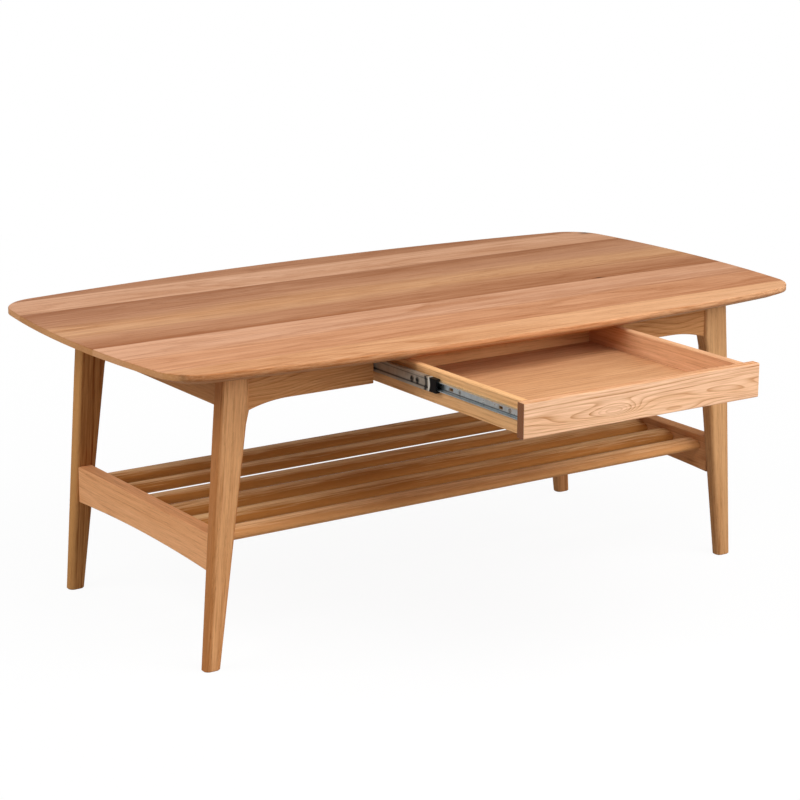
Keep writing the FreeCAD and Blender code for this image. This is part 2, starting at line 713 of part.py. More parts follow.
def make_drawer_side(label, right):
    """A drawer side, grooved for the bottom and drilled for its dowels and the slide's screws."""
    corners = [("front_back_y", "side_low"), ("side_end_y", "side_low"),
               ("side_end_y", "side_top"), ("front_back_y", "side_top")]
    blank = board(label + "_blank", "YZ_Plane", corners, "drawer_side_thickness",
                  ("box_inside" if right > 0 else "-box_half", "0", "0"), bevel="drawer_edge_bevel")
    reach = ["box_inside - overrun", "box_inside + groove_depth"]
    if right < 0:
        reach = [f"-({text})" for text in reversed(reach)]
    tools = [box(label + "_groove", [reach, ("front_back_y - overrun", "side_end_y + overrun"),
                                     ("bottom_low - groove_clearance", "bottom_top + groove_clearance")])]
    for i in range(SIZES["slide_screw_count"]):
        spot = (f"{right} * (box_half + overrun)", slide_screw_y("inner_y", i), "slide_z")
        tools.append(pilot(f"{label}_pilot_{i}", spot, ALONG_X.inverted() if right > 0 else ALONG_X))
    tools += front_dowels(label + "_front_hole", "dowel_clearance")
    tools += back_dowels(label + "_back_hole", "dowel_clearance")
    node(cut(label, blank, tools), label)


def make_drawer_back():
    """The drawer back, which stands on the bottom between the sides."""
    block = box("drawer_back_block", [("-box_inside", "box_inside"), ("back_y", "back_end_y"),
                                      ("bottom_top", "side_top")])
    node(cut("drawer_back", block, back_dowels("drawer_back_hole", "dowel_clearance")), "drawer_back")


def make_drawer_bottom():
    """The thin drawer bottom, held in the grooves of the front and sides."""
    reach = "box_inside + groove_depth - groove_clearance"
    lengthways = ("front_back_y - groove_depth + groove_clearance", "back_end_y")
    panel = box("drawer_bottom", [(f"-({reach})", reach), lengthways, ("bottom_low", "bottom_top")])
    node(panel, "drawer_bottom")


def channel(name, start, length, inset, depth, height, metal, mouth):
    """A sheet-metal channel along Y of the left slide, at an inset from the rail's face.

    Its web is on the rail's side and its mouth on the drawer's for mouth 1, and the other way round for -1.
    """
    near, far = f"-opening_half + {inset}", f"-opening_half + {inset} + {depth}"
    half = f"({height}) / 2"
    metal = f"({metal})"
    block = box(name + "_block", [(near, far), (start, f"{start} + {length}"),
                                  (f"slide_z - {half}", f"slide_z + {half}")])
    hollow = (f"{near} + {metal}", f"{far} + overrun")
    if mouth < 0:
        hollow = (f"{near} - overrun", f"{far} - {metal}")
    room = box(name + "_room", [hollow, (f"{start} - overrun", f"{start} + {length} + overrun"),
                                (f"slide_z - {half} + {metal}", f"slide_z + {half} - {metal}")])
    return cut(name + "_channel", block, [room])


def web_hole(name, y, width, length):
    """A slot through every web at a place along the left slide."""
    return box(name, [("-opening_half - overrun", "-box_half + overrun"),
                      (f"{y} - {length} / 2", f"{y} + {length} / 2"),
                      (f"slide_z - {width} / 2", f"slide_z + {width} / 2")])


def screw_hole(name, y):
    """A round hole for a screw head through every web at a place along the left slide."""
    return rod(name, "screw_head_diameter + 2 * screw_clearance", "slide_space + 2 * overrun",
               ("-opening_half - overrun", y, "slide_z"), ALONG_X)


def on_side(item, label, right):
    """Sets a piece of the left slide on its own side, or swaps it to the right, and names it."""
    if right:
        place(item, ("0", "0", "2 * slide_z"), SIDE_SWAP)
    node(item, label)


def make_members(side, right):
    """The three channels of a slide: outer on the rail, inner on the drawer side, middle between them."""
    outer = channel(f"{side}_outer", "outer_y", "outer_length", "0", "outer_depth", "outer_height",
                    "slide_sheet_thickness", 1)
    middle = channel(f"{side}_middle", "middle_y", "middle_length", "middle_inset", "middle_depth",
                     "middle_height", "slide_sheet_thickness", 1)
    inner = channel(f"{side}_inner", "inner_y", "inner_length", "slide_space - inner_depth", "inner_depth",
                    "inner_height", "slide_sheet_thickness", -1)
    outer_holes = []
    inner_holes = []
    for i in range(SIZES["slide_screw_count"]):
        outer_holes.append(screw_hole(f"{side}_outer_hole_{i}", slide_screw_y("outer_y", i)))
        spot = slide_screw_y("inner_y", i)
        inner_holes.append(screw_hole(f"{side}_inner_hole_{i}", spot))
        slot = web_hole(f"{side}_inner_slot_{i}", f"{spot} + slot_offset", "slot_width", "slot_length")
        inner_holes.append(slot)
    middle_holes = [web_hole(f"{side}_middle_slot_{i}",
                             f"middle_y + middle_hole_setback + {i} * middle_hole_pitch",
                             "slot_width", "slot_length / 2") for i in range(2)]
    on_side(cut(f"{side}_outer_member", outer, outer_holes), f"{side}_slide_outer", right)
    on_side(cut(f"{side}_middle_member", middle, middle_holes), f"{side}_slide_middle", right)
    on_side(cut(f"{side}_inner_member", inner, inner_holes), f"{side}_slide_inner", right)


def make_plastics(side, right):
    """The plastic cap on the front end of a middle member, and the release lever in the inner member."""
    wall = "(middle_height - inner_height) / 2 - cap_clearance"
    cap = channel(f"{side}_cap", "middle_y - cap_length", "cap_length", "middle_inset", "middle_depth",
                  "middle_height", wall, 1)
    on_side(cap, f"{side}_slide_end_cap", right)
    half = "(inner_height / 2 - slide_sheet_thickness - lever_clearance)"
    start = "middle_y + lever_setback"
    across = ("-box_half - slide_sheet_thickness - lever_thickness", "-box_half - slide_sheet_thickness")
    upright = (f"slide_z - {half}", f"slide_z + {half}")
    lever = box(f"{side}_lever_block", [across, (start, f"{start} + lever_length"), upright])
    on_side(group(f"{side}_lever", [lever]), f"{side}_slide_lever", right)


def make_cage(side, kind, depth, right):
    """A ball cage between two slide members: a thin channel with balls in its upper and lower flange."""
    name = f"{side}_{kind}_cage"
    strip = channel(name, f"{kind}_cage_y", f"{kind}_cage_length", f"{kind}_cage_x", depth,
                    f"{kind}_cage_height", "cage_sheet_thickness", 1)
    size = f"{kind}_ball_gap - 2 * ball_clearance"
    x = f"-opening_half + {kind}_cage_x + ({depth}) / 2"
    pitch = f"{kind}_cage_length / ball_count"
    spots = [f"{kind}_cage_y + ({i} + 1 / 2) * {pitch}" for i in range(SIZES["ball_count"])]
    pockets = [rod(f"{name}_pocket_{i}", f"{size} + 2 * ball_clearance", f"{kind}_cage_height + 2 * overrun",
                   (x, y, f"slide_z - {kind}_cage_height / 2 - overrun")) for i, y in enumerate(spots)]
    on_side(cut(name + "_strip", strip, pockets), f"{side}_slide_{kind}_cage", right)
    rise = f"({kind}_cage_height - cage_sheet_thickness) / 2"
    balls = [ball(f"{name}_ball_{i}_{up}", size, (x, y, f"slide_z + {up} * ({rise})"))
             for i, y in enumerate(spots) for up in (-1, 1)]
    on_side(group(name + "_balls", balls), f"{side}_slide_{kind}_balls", right)


def flush_screw(name, x, y, turn):
    """A slide screw whose head lies flush in the sheet metal and whose shank bites into the wood."""
    head = rod(name + "_head", "screw_head_diameter", "slide_sheet_thickness", ("0", "0", "0"))
    shank = rod(name + "_shank", "screw_diameter", "slide_sheet_thickness + screw_bite", ("0", "0", "0"))
    return place(join(name, [head, shank]), (x, y, "slide_z"), turn)


def make_slide_screws():
    """The screws that hold the outer members to the rails and the inner members to the drawer sides."""
    rail_screws = []
    drawer_screws = []
    for right in (-1, 1):
        outwards = ALONG_X if right > 0 else ALONG_X.inverted()
        rail_x = f"{right} * (opening_half - slide_sheet_thickness)"
        drawer_x = f"{right} * (box_half + slide_sheet_thickness)"
        for i in range(SIZES["slide_screw_count"]):
            outer_y = slide_screw_y("outer_y", i)
            inner_y = slide_screw_y("inner_y", i)
            rail_screws.append(flush_screw(f"rail_screw_{right}_{i}", rail_x, outer_y, outwards))
            inwards = outwards.inverted()
            drawer_screws.append(flush_screw(f"drawer_screw_{right}_{i}", drawer_x, inner_y, inwards))
    node(group("rail_screws", rail_screws), "slide_rail_screws")
    node(group("drawer_screws", drawer_screws), "slide_drawer_screws")


def bracket_spots():
    """Where each top bracket's corner sits, and the turn that makes its own X lead away from the apron."""
    spots = []
    for sign in (-1, 1):
        spots.append((f"{sign} * long_bracket_x", "apron_back", -90))
        spots.append((f"{sign} * long_bracket_x", "-apron_back", 90))
        spots.append(("end_apron_inner_x", f"{sign} * end_bracket_y", 180))
        spots.append(("-end_apron_inner_x", f"{sign} * end_bracket_y", 0))
    return spots


def top_screw_spots():
    """Where the bracket screws go up into the top."""
    reach = "(bracket_leaf_width + bracket_thickness) / 2"
    shifts = {-90: ("0", f"-{reach}"), 90: ("0", reach), 180: (f"-{reach}", "0"), 0: (reach, "0")}
    return [(f"{x} + {shifts[turn][0]}", f"{y} + {shifts[turn][1]}") for x, y, turn in bracket_spots()]


def bracket_screw(name, spot, turn):
    """A pan-head screw that starts under its head, at the bracket's face, and runs along a turned Z axis."""
    head = rod(name + "_head", "screw_head_diameter", "screw_head_height", ("0", "0", "-screw_head_height"))
    shank = rod(name + "_shank", "screw_diameter", "bracket_thickness + screw_bite", ("0", "0", "0"))
    return place(join(name, [head, shank]), spot, turn)


def make_top_brackets():
    """The steel angle brackets that hold the top to the aprons, and their screws."""
    brackets = []
    screws = []
    across = "(bracket_leaf_width + bracket_thickness) / 2"
    hole = "screw_diameter + 2 * screw_clearance"
    for index, (x, y, angle) in enumerate(bracket_spots()):
        name = f"bracket_{index}"
        along = ("-bracket_length / 2", "bracket_length / 2")
        leaves = [box(name + "_leaf", [("0", "bracket_leaf_width"), along, ("-bracket_thickness", "0")]),
                  box(name + "_flange", [("0", "bracket_thickness"), along, ("-bracket_leaf_width", "0")])]
        drills = [rod(name + "_drill_up", hole, "bracket_thickness + 2 * overrun",
                      (across, "0", "-bracket_thickness - overrun")),
                  rod(name + "_drill_in", hole, "bracket_thickness + 2 * overrun",
                      ("-overrun", "0", "-bracket_leaf_width / 2"), ALONG_X)]
        angle_iron = cut(name, join(name + "_angle", leaves), drills)
        side_spot = ("bracket_thickness", "0", "-bracket_leaf_width / 2")
        fixings = [bracket_screw(name + "_screw_up", (across, "0", "-bracket_thickness"), ALONG_Z),
                   bracket_screw(name + "_screw_in", side_spot, ALONG_X.inverted())]
        turn = FreeCAD.Rotation(UP, angle)
        brackets.append(place(angle_iron, (x, y, "underside"), turn))
        screws.append(place(group(name + "_screws", fixings), (x, y, "underside"), turn))
    node(group("brackets", brackets), "top_brackets")
    node(group("bracket_screws", screws), "top_bracket_screws")


def check():
    """Stops if any object failed or any finished piece has no sound solid."""
    doc.recompute()
    for item in doc.Objects:
        if {"Invalid", "Error"} & set(item.State):
            raise RuntimeError(f"{item.Name} failed: {item.State}")
    for item in nodes:
        shape = item.Shape
        if shape.isNull() or not shape.isValid() or not shape.Solids:
            raise RuntimeError(f"{item.Label} has no sound solid")


def main():
    fill_sheets()
    make_top()
    for name, turns in (("right", ALONG_Z), ("left", HALF_TURN)):
        swapped = name == "left"
        make_leg(f"front_{name}_leg", not swapped, turns)
        make_leg(f"rear_{name}_leg", swapped, turns)
        make_front_apron(f"front_{name}_apron", -1 if swapped else 1)
        make_end_apron(f"{name}_end_apron", turns)
        make_stretcher(f"{name}_stretcher", turns, -1 if swapped else 1)
    make_rear_apron()
    for index in range(SIZES["slat_count"]):
        make_slat(index)
    make_drawer_front()
    make_drawer_back()
    make_drawer_bottom()
    for name, right in (("left", -1), ("right", 1)):
        make_rail(f"{name}_drawer_rail", right)
        make_drawer_side(f"drawer_{name}_side", right)
        make_members(name, right > 0)
        make_plastics(name, right > 0)
        make_cage(name, "outer", "outer_depth - outer_cage_x - cage_clearance", right > 0)
        make_cage(name, "inner", "middle_inset + middle_depth - inner_cage_x - cage_clearance", right > 0)
    node(group("dowels", front_dowels("front_dowel") + back_dowels("back_dowel")), "drawer_dowels")
    make_slide_screws()
    make_top_brackets()
    check()
    os.makedirs("parts", exist_ok=True)
    for item in nodes:
        item.Shape.exportStep(f"parts/{item.Label}.step")
    print(len(nodes), "nodes")


main()
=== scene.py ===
"""Looks of a low oak coffee table with one drawer: finishes, small fixings, light and camera."""

import json
import logging
import math
from dataclasses import dataclass, field
from enum import Enum
from typing import Any, Callable, Sequence

import bpy
from mathutils import Matrix, Vector

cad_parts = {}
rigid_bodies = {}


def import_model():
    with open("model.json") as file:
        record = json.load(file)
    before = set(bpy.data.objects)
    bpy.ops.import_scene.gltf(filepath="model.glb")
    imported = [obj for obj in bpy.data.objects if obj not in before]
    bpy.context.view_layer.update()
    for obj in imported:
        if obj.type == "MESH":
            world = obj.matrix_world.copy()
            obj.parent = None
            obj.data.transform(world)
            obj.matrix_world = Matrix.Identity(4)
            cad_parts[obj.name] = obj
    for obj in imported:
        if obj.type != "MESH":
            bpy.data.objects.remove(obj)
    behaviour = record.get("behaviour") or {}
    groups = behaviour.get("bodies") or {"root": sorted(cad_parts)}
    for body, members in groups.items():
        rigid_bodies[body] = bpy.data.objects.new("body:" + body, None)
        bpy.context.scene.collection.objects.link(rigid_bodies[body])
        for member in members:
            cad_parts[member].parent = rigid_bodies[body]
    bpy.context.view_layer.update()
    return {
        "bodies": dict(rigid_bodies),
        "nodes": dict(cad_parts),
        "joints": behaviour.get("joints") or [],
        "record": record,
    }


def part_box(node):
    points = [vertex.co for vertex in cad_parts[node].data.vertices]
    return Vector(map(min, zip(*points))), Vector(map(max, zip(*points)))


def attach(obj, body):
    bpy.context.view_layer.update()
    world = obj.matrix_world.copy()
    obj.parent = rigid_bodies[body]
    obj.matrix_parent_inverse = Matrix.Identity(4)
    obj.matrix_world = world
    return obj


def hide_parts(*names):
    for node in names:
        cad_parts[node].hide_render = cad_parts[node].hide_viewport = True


# What smooth noise averages
MID = 0.5

# Width of a screw's head in metres
SCREW_HEAD = 0.007

log = logging.getLogger("coffee_table")

Colour = tuple[float, float, float, float]
Spot = tuple[Vector, Vector]


class Axis(Enum):
    """A direction of the table, by its place in a point."""

    LENGTH = 0
    DEPTH = 1
    HEIGHT = 2


class Side(Enum):
    """One of the table's two sides, by its sign along the length."""

    LEFT = -1
    RIGHT = 1

    @property
    def word(self) -> str:
        """The side's name as the nodes spell it."""
        return self.name.lower()


def colour(code: str, gain: Sequence[float] = (1.0, 1.0, 1.0)) -> Colour:
    """Turn a screen colour into the linear one that a shader takes.

    Args:
        code: Six hexadecimal digits, red, green and blue.
        gain: What each linear channel is multiplied by.

    Returns:
        The linear colour with full alpha.
    """
    channels = []
    for start, factor in zip((0, 2, 4), gain):
        level = int(code[start:start + 2], 16) / 255
        linear = level / 12.92 if level <= 0.04045 else ((level + 0.055) / 1.055) ** 2.4
        channels.append(linear * factor)
    return (channels[0], channels[1], channels[2], 1.0)


# Colours that every oak shares: a warm tint, pores, knots and the painted shade behind a slide's slots, glue,
# the dark upper rim of the ends, and the painted shade of the lower edge
WARM = (1.0, 0.93, 0.80, 1.0)
PORE, KNOT_AND_SHADE, GLUE, RIM, UNDER_SHADE = map(colour, ("5a3416", "3b2413", "5a3a1e", "7a421a", "5c3211"))

# Gains of an oak's red, green and blue: per unit of contrast in its pale and dark parts, and on its cut ends
PALE_GAINS = (0.42, 0.65, 0.95)
DARK_GAINS = (-0.92, -1.40, -1.85)
END_GAINS = (0.46, 0.36, 0.30)

# Colours that every zinc shares: specks and the near-black of painted shade; and the studio's white
SPECK, PAINTED_SHADE, WHITE = map(colour, ("5d6163", "120d08", "ffffff"))


def math_method(operation: str, swapped: bool = False) -> Callable[..., "Value"]:
    """Make a method of Value that adds one Math node.

    Args:
        operation: What the node works out.
        swapped: Whether the other term comes first.

    Returns:
        The method, which takes the other term where the operation has one.
    """
    def method(value: "Value", *others: "Term") -> "Value":
        """Work out the operation on a value."""
        return value.graph.math(operation, *((*others, value) if swapped else (value, *others)))
    return method


class Value:
    """A number that varies over a surface: a socket with Python's arithmetic."""

    def __init__(self, graph: "MaterialGraph", socket: bpy.types.NodeSocket) -> None:
        """Keep the graph that the socket is in."""
        self.graph = graph
        self.socket = socket

    # Operators and functions that each add one Math node
    __add__ = __radd__ = math_method("ADD")
    __sub__ = math_method("SUBTRACT")
    __rsub__ = math_method("SUBTRACT", swapped=True)
    __mul__ = __rmul__ = math_method("MULTIPLY")
    __truediv__ = math_method("DIVIDE")
    __pow__ = math_method("POWER")
    __gt__ = math_method("GREATER_THAN")
    fract = math_method("FRACT")
    floor = math_method("FLOOR")
    size = math_method("ABSOLUTE")
    exp = math_method("EXPONENT")
    least = math_method("MINIMUM")
    most = math_method("MAXIMUM")

    def held(self) -> "Value":
        """Held between zero and one."""
        return self.most(0.0).least(1.0)

    def past(self, start: float, gain: float) -> "Value":
        """How far it is past a start, times a gain, held between zero and one."""
        return ((self - start) * gain).held()

    def fall(self, gain: float = 1.0) -> "Value":
        """A smooth fall from one toward zero as it grows."""
        return (self * -gain).exp()


Term = Value | float | int
Point = tuple[Value, Value, Value]


class NodeGraph:
    """A node tree that is filled one node at a time."""

    def __init__(self, tree: bpy.types.NodeTree) -> None:
        """Keep the tree."""
        self.tree = tree

    def add(self, kind: str, settings: dict[str, Any] | None = None,
            sockets: dict[str | int, Any] | None = None) -> bpy.types.Node:
        """Add one node.

        Args:
            kind: The node's type.
            settings: Properties, set first.
            sockets: Values or links of its inputs, by name or number. A list gives one input several links.

        Returns:
            The new node.
        """
        node = self.tree.nodes.new(kind)
        for key, value in (settings or {}).items():
            setattr(node, key, value)
        for key, value in (sockets or {}).items():
            for given in value if isinstance(value, list) else [value]:
                source = given.socket if isinstance(given, Value) else given
                if isinstance(source, bpy.types.NodeSocket):
                    self.tree.links.new(source, node.inputs[key])
                else:
                    node.inputs[key].default_value = source
        return node


class MaterialGraph(NodeGraph):
    """The node tree of one new material."""

    def __init__(self, name: str) -> None:
        """Make the material with an empty tree.

        Args:
            name: The material's name.
        """
        self.material = bpy.data.materials.new(name)
        self.material.use_nodes = True
        super().__init__(self.material.node_tree)
        self.tree.nodes.clear()

    def math(self, operation: str, *terms: Term) -> Value:
        """Add one Math node and return its result."""
        node = self.add("ShaderNodeMath", {"operation": operation}, dict(enumerate(terms)))
        return Value(self, node.outputs[0])

    def parts(self, label: str) -> Point:
        """The three parts of one of the Texture Coordinate node's vectors.

        Args:
            label: Which of its outputs.

        Returns:
            The vector's parts.
        """
        vector = self.add("ShaderNodeTexCoord").outputs[label]
        split = self.add("ShaderNodeSeparateXYZ", sockets={0: vector})
        return tuple(Value(self, socket) for socket in split.outputs)

    def place(self) -> Point:
        """The point's length, depth and height on the table, in metres."""
        return self.parts("Object")

    def noise(self, point: Sequence[Term], detail: float = 2.0, roughness: float = 0.5) -> bpy.types.Node:
        """Smooth noise of unit scale at a point that is already stretched.

        Args:
            point: The three parts of where the noise is read.
            detail: How many finer layers are added.
            roughness: How strong each finer layer is.

        Returns:
            The noise node, with its value and its colour.
        """
        spot = self.add("ShaderNodeCombineXYZ", sockets=dict(enumerate(point)))
        return self.add("ShaderNodeTexNoise", {"noise_dimensions": "3D"}, {
            "Vector": spot.outputs[0], "Scale": 1.0, "Detail": detail, "Roughness": roughness})

    def noise_value(self, point: Sequence[Term], detail: float = 2.0, roughness: float = 0.5) -> Value:
        """The plain value of noise at a point, about one half on average."""
        return Value(self, self.noise(point, detail, roughness).outputs[0])

    def mix(self, factor: Term, first: Any, second: Any, blend: str = "MIX") -> bpy.types.NodeSocket:
        """Mix two colours.

        Args:
            factor: How much of the second colour.
            first: The first colour, a value or a socket.
            second: The second colour, a value or a socket.
            blend: How they are mixed.

        Returns:
            The mixed colour's socket.
        """
        settings = {"data_type": "RGBA", "blend_type": blend}
        return self.add("ShaderNodeMix", settings, {0: factor, 6: first, 7: second}).outputs[2]

    def surface(self, sockets: dict[str, Any], height: Value, bump: float, reach: float) -> bpy.types.Material:
        """Close the material with a Principled shader over a fine relief.

        Args:
            sockets: Values or links of the shader's inputs.
            height: The relief, about zero to one.
            bump: How strong the relief is.
            reach: The relief's height in metres.

        Returns:
            The finished material.
        """
        relief = self.add("ShaderNodeBump", sockets={"Strength": bump, "Distance": reach, "Height": height})
        shader = self.add("ShaderNodeBsdfPrincipled", sockets={**sockets, "Normal": relief.outputs[0]})
        self.add("ShaderNodeOutputMaterial", sockets={"Surface": shader.outputs[0]})
        return self.material


@dataclass(frozen=True)
class Tone:
    """The colour of a board: its mean and how far rings and streaks depart from it."""

    mean: str
    contrast: float = 0.32

    @property
    def light(self) -> Colour:
        """Colour of the pale, creamy wood between the rings."""
        return colour(self.mean, [1 + gain * self.contrast for gain in PALE_GAINS])

    @property
    def dark(self) -> Colour:
        """Colour of the orange-brown, porous wood at a ring's start."""
        return colour(self.mean, [1 + gain * self.contrast for gain in DARK_GAINS])

    @property
    def end(self) -> Colour:
        """Colour of the cut ends, which drink more oil."""
        return colour(self.mean, END_GAINS)


@dataclass(frozen=True)
class Eye:
    """A place where the grain closes round, with an optional dark spot, which is a knot on the top and painted
    shade behind a slide's slot on the drawer's sides.

    Lengths are in metres, along the grain and across it on the board's face; rise is in rings. The dark spot
    shows only farther than beyond from the middle of the table.
    """

    along: float
    across: float
    length: float
    width: float
    rise: float = 3.0
    knot: float = 0.0
    beyond: float = 0.0


@dataclass(frozen=True)
class Board:
    """One board of oak.

    The heart of the tree lies across and in depth, in metres; cut says where in the tree the board was taken,
    slope how much darker its far edge is than its near one, and fade how much darker it gets along each metre,
    partly its own tone and partly painted shade where less light falls.
    """

    tone: Tone
    heart: tuple[float, float]
    cut: float = 0.0
    slope: float = 0.0
    fade: float = 0.0


@dataclass(frozen=True)
class Seam:
    """Where two boards meet: its place across them, and how far their colours run into each other."""

    place: float
    blend: float = 0.002


@dataclass(frozen=True)
class Layer:
    """A layer of noise in wood: its scales along and across the grain, and how far it bends with the rings."""

    along: float
    across: float
    bend: float = 0.0
    detail: float = 3.0
    roughness: float = 0.58

    def node(self, graph: MaterialGraph, point: Point, ring: Value | None = None) -> bpy.types.Node:
        """Draw the layer.

        Args:
            graph: The material's nodes.
            point: Along the grain, across the face and in depth.
            ring: The count of rings, for a layer that bends with them.

        Returns:
            The noise node, with its value and its colour.
        """
        run, face, deep = point
        side = face * self.across + ring * self.bend if self.bend else face * self.across
        return graph.noise((run * self.along, side, deep * self.across), self.detail, self.roughness)

    def value(self, graph: MaterialGraph, point: Point, ring: Value | None = None) -> Value:
        """The layer's plain value, about zero on average."""
        return Value(graph, self.node(graph, point, ring).outputs[0]) - MID


# Layers of an oak's grain, from the finest to the broadest, and those that bend its rings
PORES = Layer(85, 2600, detail=1.0, roughness=0.5)
FIBRE = Layer(26, 1500)
THREAD = Layer(15, 460, bend=0.3)
STREAK = Layer(4.5, 170, bend=0.8)
BAND = Layer(1.8, 48, bend=0.25)
WARMTH = Layer(0.7, 21, bend=0.15)
BROAD = Layer(1.1, 13)
RIPPLE = Layer(9, 60, detail=2.0, roughness=0.5)
SWAY = Layer(2.1, 7, detail=2.0, roughness=0.5)


@dataclass(frozen=True)
class OakFinish:
    """Oiled oak with growth rings drawn in depth, so that faces, edges and end grain agree.

    The first fields say how a piece is cut and how its rings run. Those from mean_shade on say how dark each
    part of the grain is, with painted shade on turned faces and on the lower edge, and those from roughness on
    how it takes the light. Lengths are in metres.
    """

    boards: tuple[Board, ...]
    along: Axis = Axis.LENGTH
    across: Axis = Axis.DEPTH
    seams: tuple[Seam, ...] = ()
    eyes: tuple[Eye, ...] = ()
    lean: float = 0.0
    ring_width: float = 0.0048
    taper: float = 0.012
    wander: float = 0.006
    ripple: float = 0.35
    crisp: float = 9.0
    ring_fade: float = 0.3
    year_least: float = 0.35
    year_spread: float = 0.9
    wave_scales: tuple[float, float] = (2.2, 9.0)
    wave: float = 2.5
    mean_shade: float = 0.42
    mean_line: float = 0.2
    figure: float = 0.42
    streak: float = 0.62
    thread: float = 1.15
    fibre: float = 0.5
    drift: float = 0.95
    warmth: float = 0.5
    pores: float = 0.65
    pore_shade: float = 0.5
    stray_pores: float = 0.35
    dashes: float = 0.22
    stray_dashes: float = 0.45
    knot_core: float = 14.0
    glue: float = 0.22
    glue_half: float = 0.0006
    end_grain: float = 0.45
    end_tone: str = ""
    # Painted shade: faces turned toward the across axis get darker by this amount, or lighter where it is
    # negative, for how light falls on them
    side_grain: float = 0.0
    rim: float = 0.0
    # Painted shade on the lower edge: turned faces below the height low_edge darken by edge_shade
    low_edge: float = 0.0
    edge_blend: float = 1 / 300
    edge_shade: float = 0.6
    roughness: float = 0.64
    gloss: float = 0.10
    relief: float = 0.35
    relief_height: float = 0.00035

    def material(self, name: str) -> bpy.types.Material:
        """Make the finish.

        Args:
            name: The material's name.

        Returns:
            The new material.
        """
        graph = MaterialGraph(name)
        run, face, deep = self._grain_place(graph)
        steps = [face > seam.place for seam in self.seams]
        point = (run + self._pick(steps, [board.cut for board in self.boards]), face, deep)
        rise, knot = self._eyes(run, face, deep)
        ring = self._ring_count(graph, point, steps, rise)
        line = self._ring_line(graph, ring)
        fibre, thread, streak, band, broad, warmth = (
            layer.value(graph, point, ring) for layer in (FIBRE, THREAD, STREAK, BAND, BROAD, WARMTH))
        pore = self._pores(graph, point, line)
        dash = thread.past(start=0.07, gain=7.0) * (self.stray_dashes + line).least(1.0)
        end, side, rim = self._turned(graph)
        # The shade includes painted shade: on turned faces, and along each board from _tilt
        shade = (self.mean_shade + self.figure * (line - self.mean_line) + self.streak * streak
                 + self.thread * thread + self.fibre * fibre + self.drift * (0.6 * broad + 0.4 * band)
                 + self.side_grain * side + self._tilt(steps, run, face)).held()
        blends = self._blends(graph, run, face)
        base = graph.mix(shade, self._pick_colour(graph, blends, [board.tone.light for board in self.boards]),
                         self._pick_colour(graph, blends, [board.tone.dark for board in self.boards]))
        base = graph.mix(warmth.past(start=-0.08, gain=3.0) * self.warmth, base, WARM, "MULTIPLY")
        base = graph.mix((pore * self.pore_shade + dash * self.dashes).held(), base, PORE)
        # Dark spots: real knots, and painted shade behind the slides' slots on the drawer's sides
        if knot is not None:
            base = graph.mix(knot.held(), base, KNOT_AND_SHADE)
        if self.seams:
            base = graph.mix(self._seam_line(face) * self.glue, base, GLUE)
        if self.rim:
            base = graph.mix(rim * self.rim, base, RIM)
        # Painted shade under the edge, where less light reaches
        if self.low_edge:
            under = ((self.low_edge - deep) / self.edge_blend).held() * side
            base = graph.mix(under * self.edge_shade, base, UNDER_SHADE)
        end_shade = colour(self.end_tone) if self.end_tone else self.boards[0].tone.end
        base = graph.mix(end * self.end_grain, base, end_shade)
        rough = self.roughness + 0.16 * fibre + 0.14 * band + 0.10 * pore
        height = MID + 0.5 * fibre + 0.25 * streak - 0.6 * pore - 0.3 * dash - 0.15 * line
        sockets = {"Base Color": base, "Roughness": rough, "Specular IOR Level": self.gloss}
        return graph.surface(sockets, height, self.relief, self.relief_height)

    def _grain_place(self, graph: MaterialGraph) -> Point:
        """The point along the grain, across the face and in depth.

        Args:
            graph: The material's nodes.

        Returns:
            The three places, in metres.
        """
        point = graph.place()
        rest = ({0, 1, 2} - {self.along.value, self.across.value}).pop()
        run, face = point[self.along.value], point[self.across.value]
        if self.lean:
            face = face - self.lean * run
        return run, face, point[rest]

    def _turned(self, graph: MaterialGraph) -> Point:
        """How far a face turns to the grain's ends and to its sides, and how far it is a rounded upper rim.

        Args:
            graph: The material's nodes.

        Returns:
            The three amounts, each from zero to one.
        """
        normal = graph.parts("Normal")
        ends, sides = (normal[axis.value].size() for axis in (self.along, self.across))
        up = normal[Axis.HEIGHT.value]
        return ends.past(start=0.6, gain=4.0), sides, (up * (1.0 - up) * 4.0).held() * ends

    def _blends(self, graph: MaterialGraph, run: Value, face: Value) -> list[Value]:
        """How far past each seam a point's colour is, with a wavy edge where two boards run into each other.

        Args:
            graph: The material's nodes.
            run: Place along the grain.
            face: Place across the face.

        Returns:
            An amount from zero to one for each seam.
        """
        if not self.seams:
            return []
        along, across = self.wave_scales
        wave = graph.noise_value((run * along, face * across, 0.0), detail=3.0) - MID
        return [((face - seam.place + wave * (self.wave * seam.blend)) / seam.blend + 0.5).held()
                for seam in self.seams]

    def _tilt(self, steps: list[Value], run: Value, face: Value) -> Term:
        """How much darker a point is for lying near one edge of its board, and along it, where the change along
        it is partly painted shade.

        Args:
            steps: Which seams the point is past.
            run: Place along the grain.
            face: Place across the face.

        Returns:
            What is added to the point's shade.
        """
        if not self.seams:
            return run * self.boards[0].fade
        places = [seam.place for seam in self.seams]
        edges = (2 * places[0] - places[1], *places, 2 * places[-1] - places[-2])
        gains = [board.slope / (far - near) for board, near, far in zip(self.boards, edges, edges[1:])]
        starts = [-gain * (near + far) / 2 for gain, near, far in zip(gains, edges, edges[1:])]
        shade_falloffs = self._pick(steps, [board.fade for board in self.boards])
        return face * self._pick(steps, gains) + self._pick(steps, starts) + run * shade_falloffs

    @staticmethod
    def _pick(steps: list[Value], amounts: list[float]) -> Term:
        """The amount of the board that a point is on.

        Args:
            steps: Which seams the point is past.
            amounts: One number for each board.

        Returns:
            The number of that board.
        """
        total: Term = amounts[0]
        for step, before, after in zip(steps, amounts, amounts[1:]):
            total = step * (after - before) + total
        return total

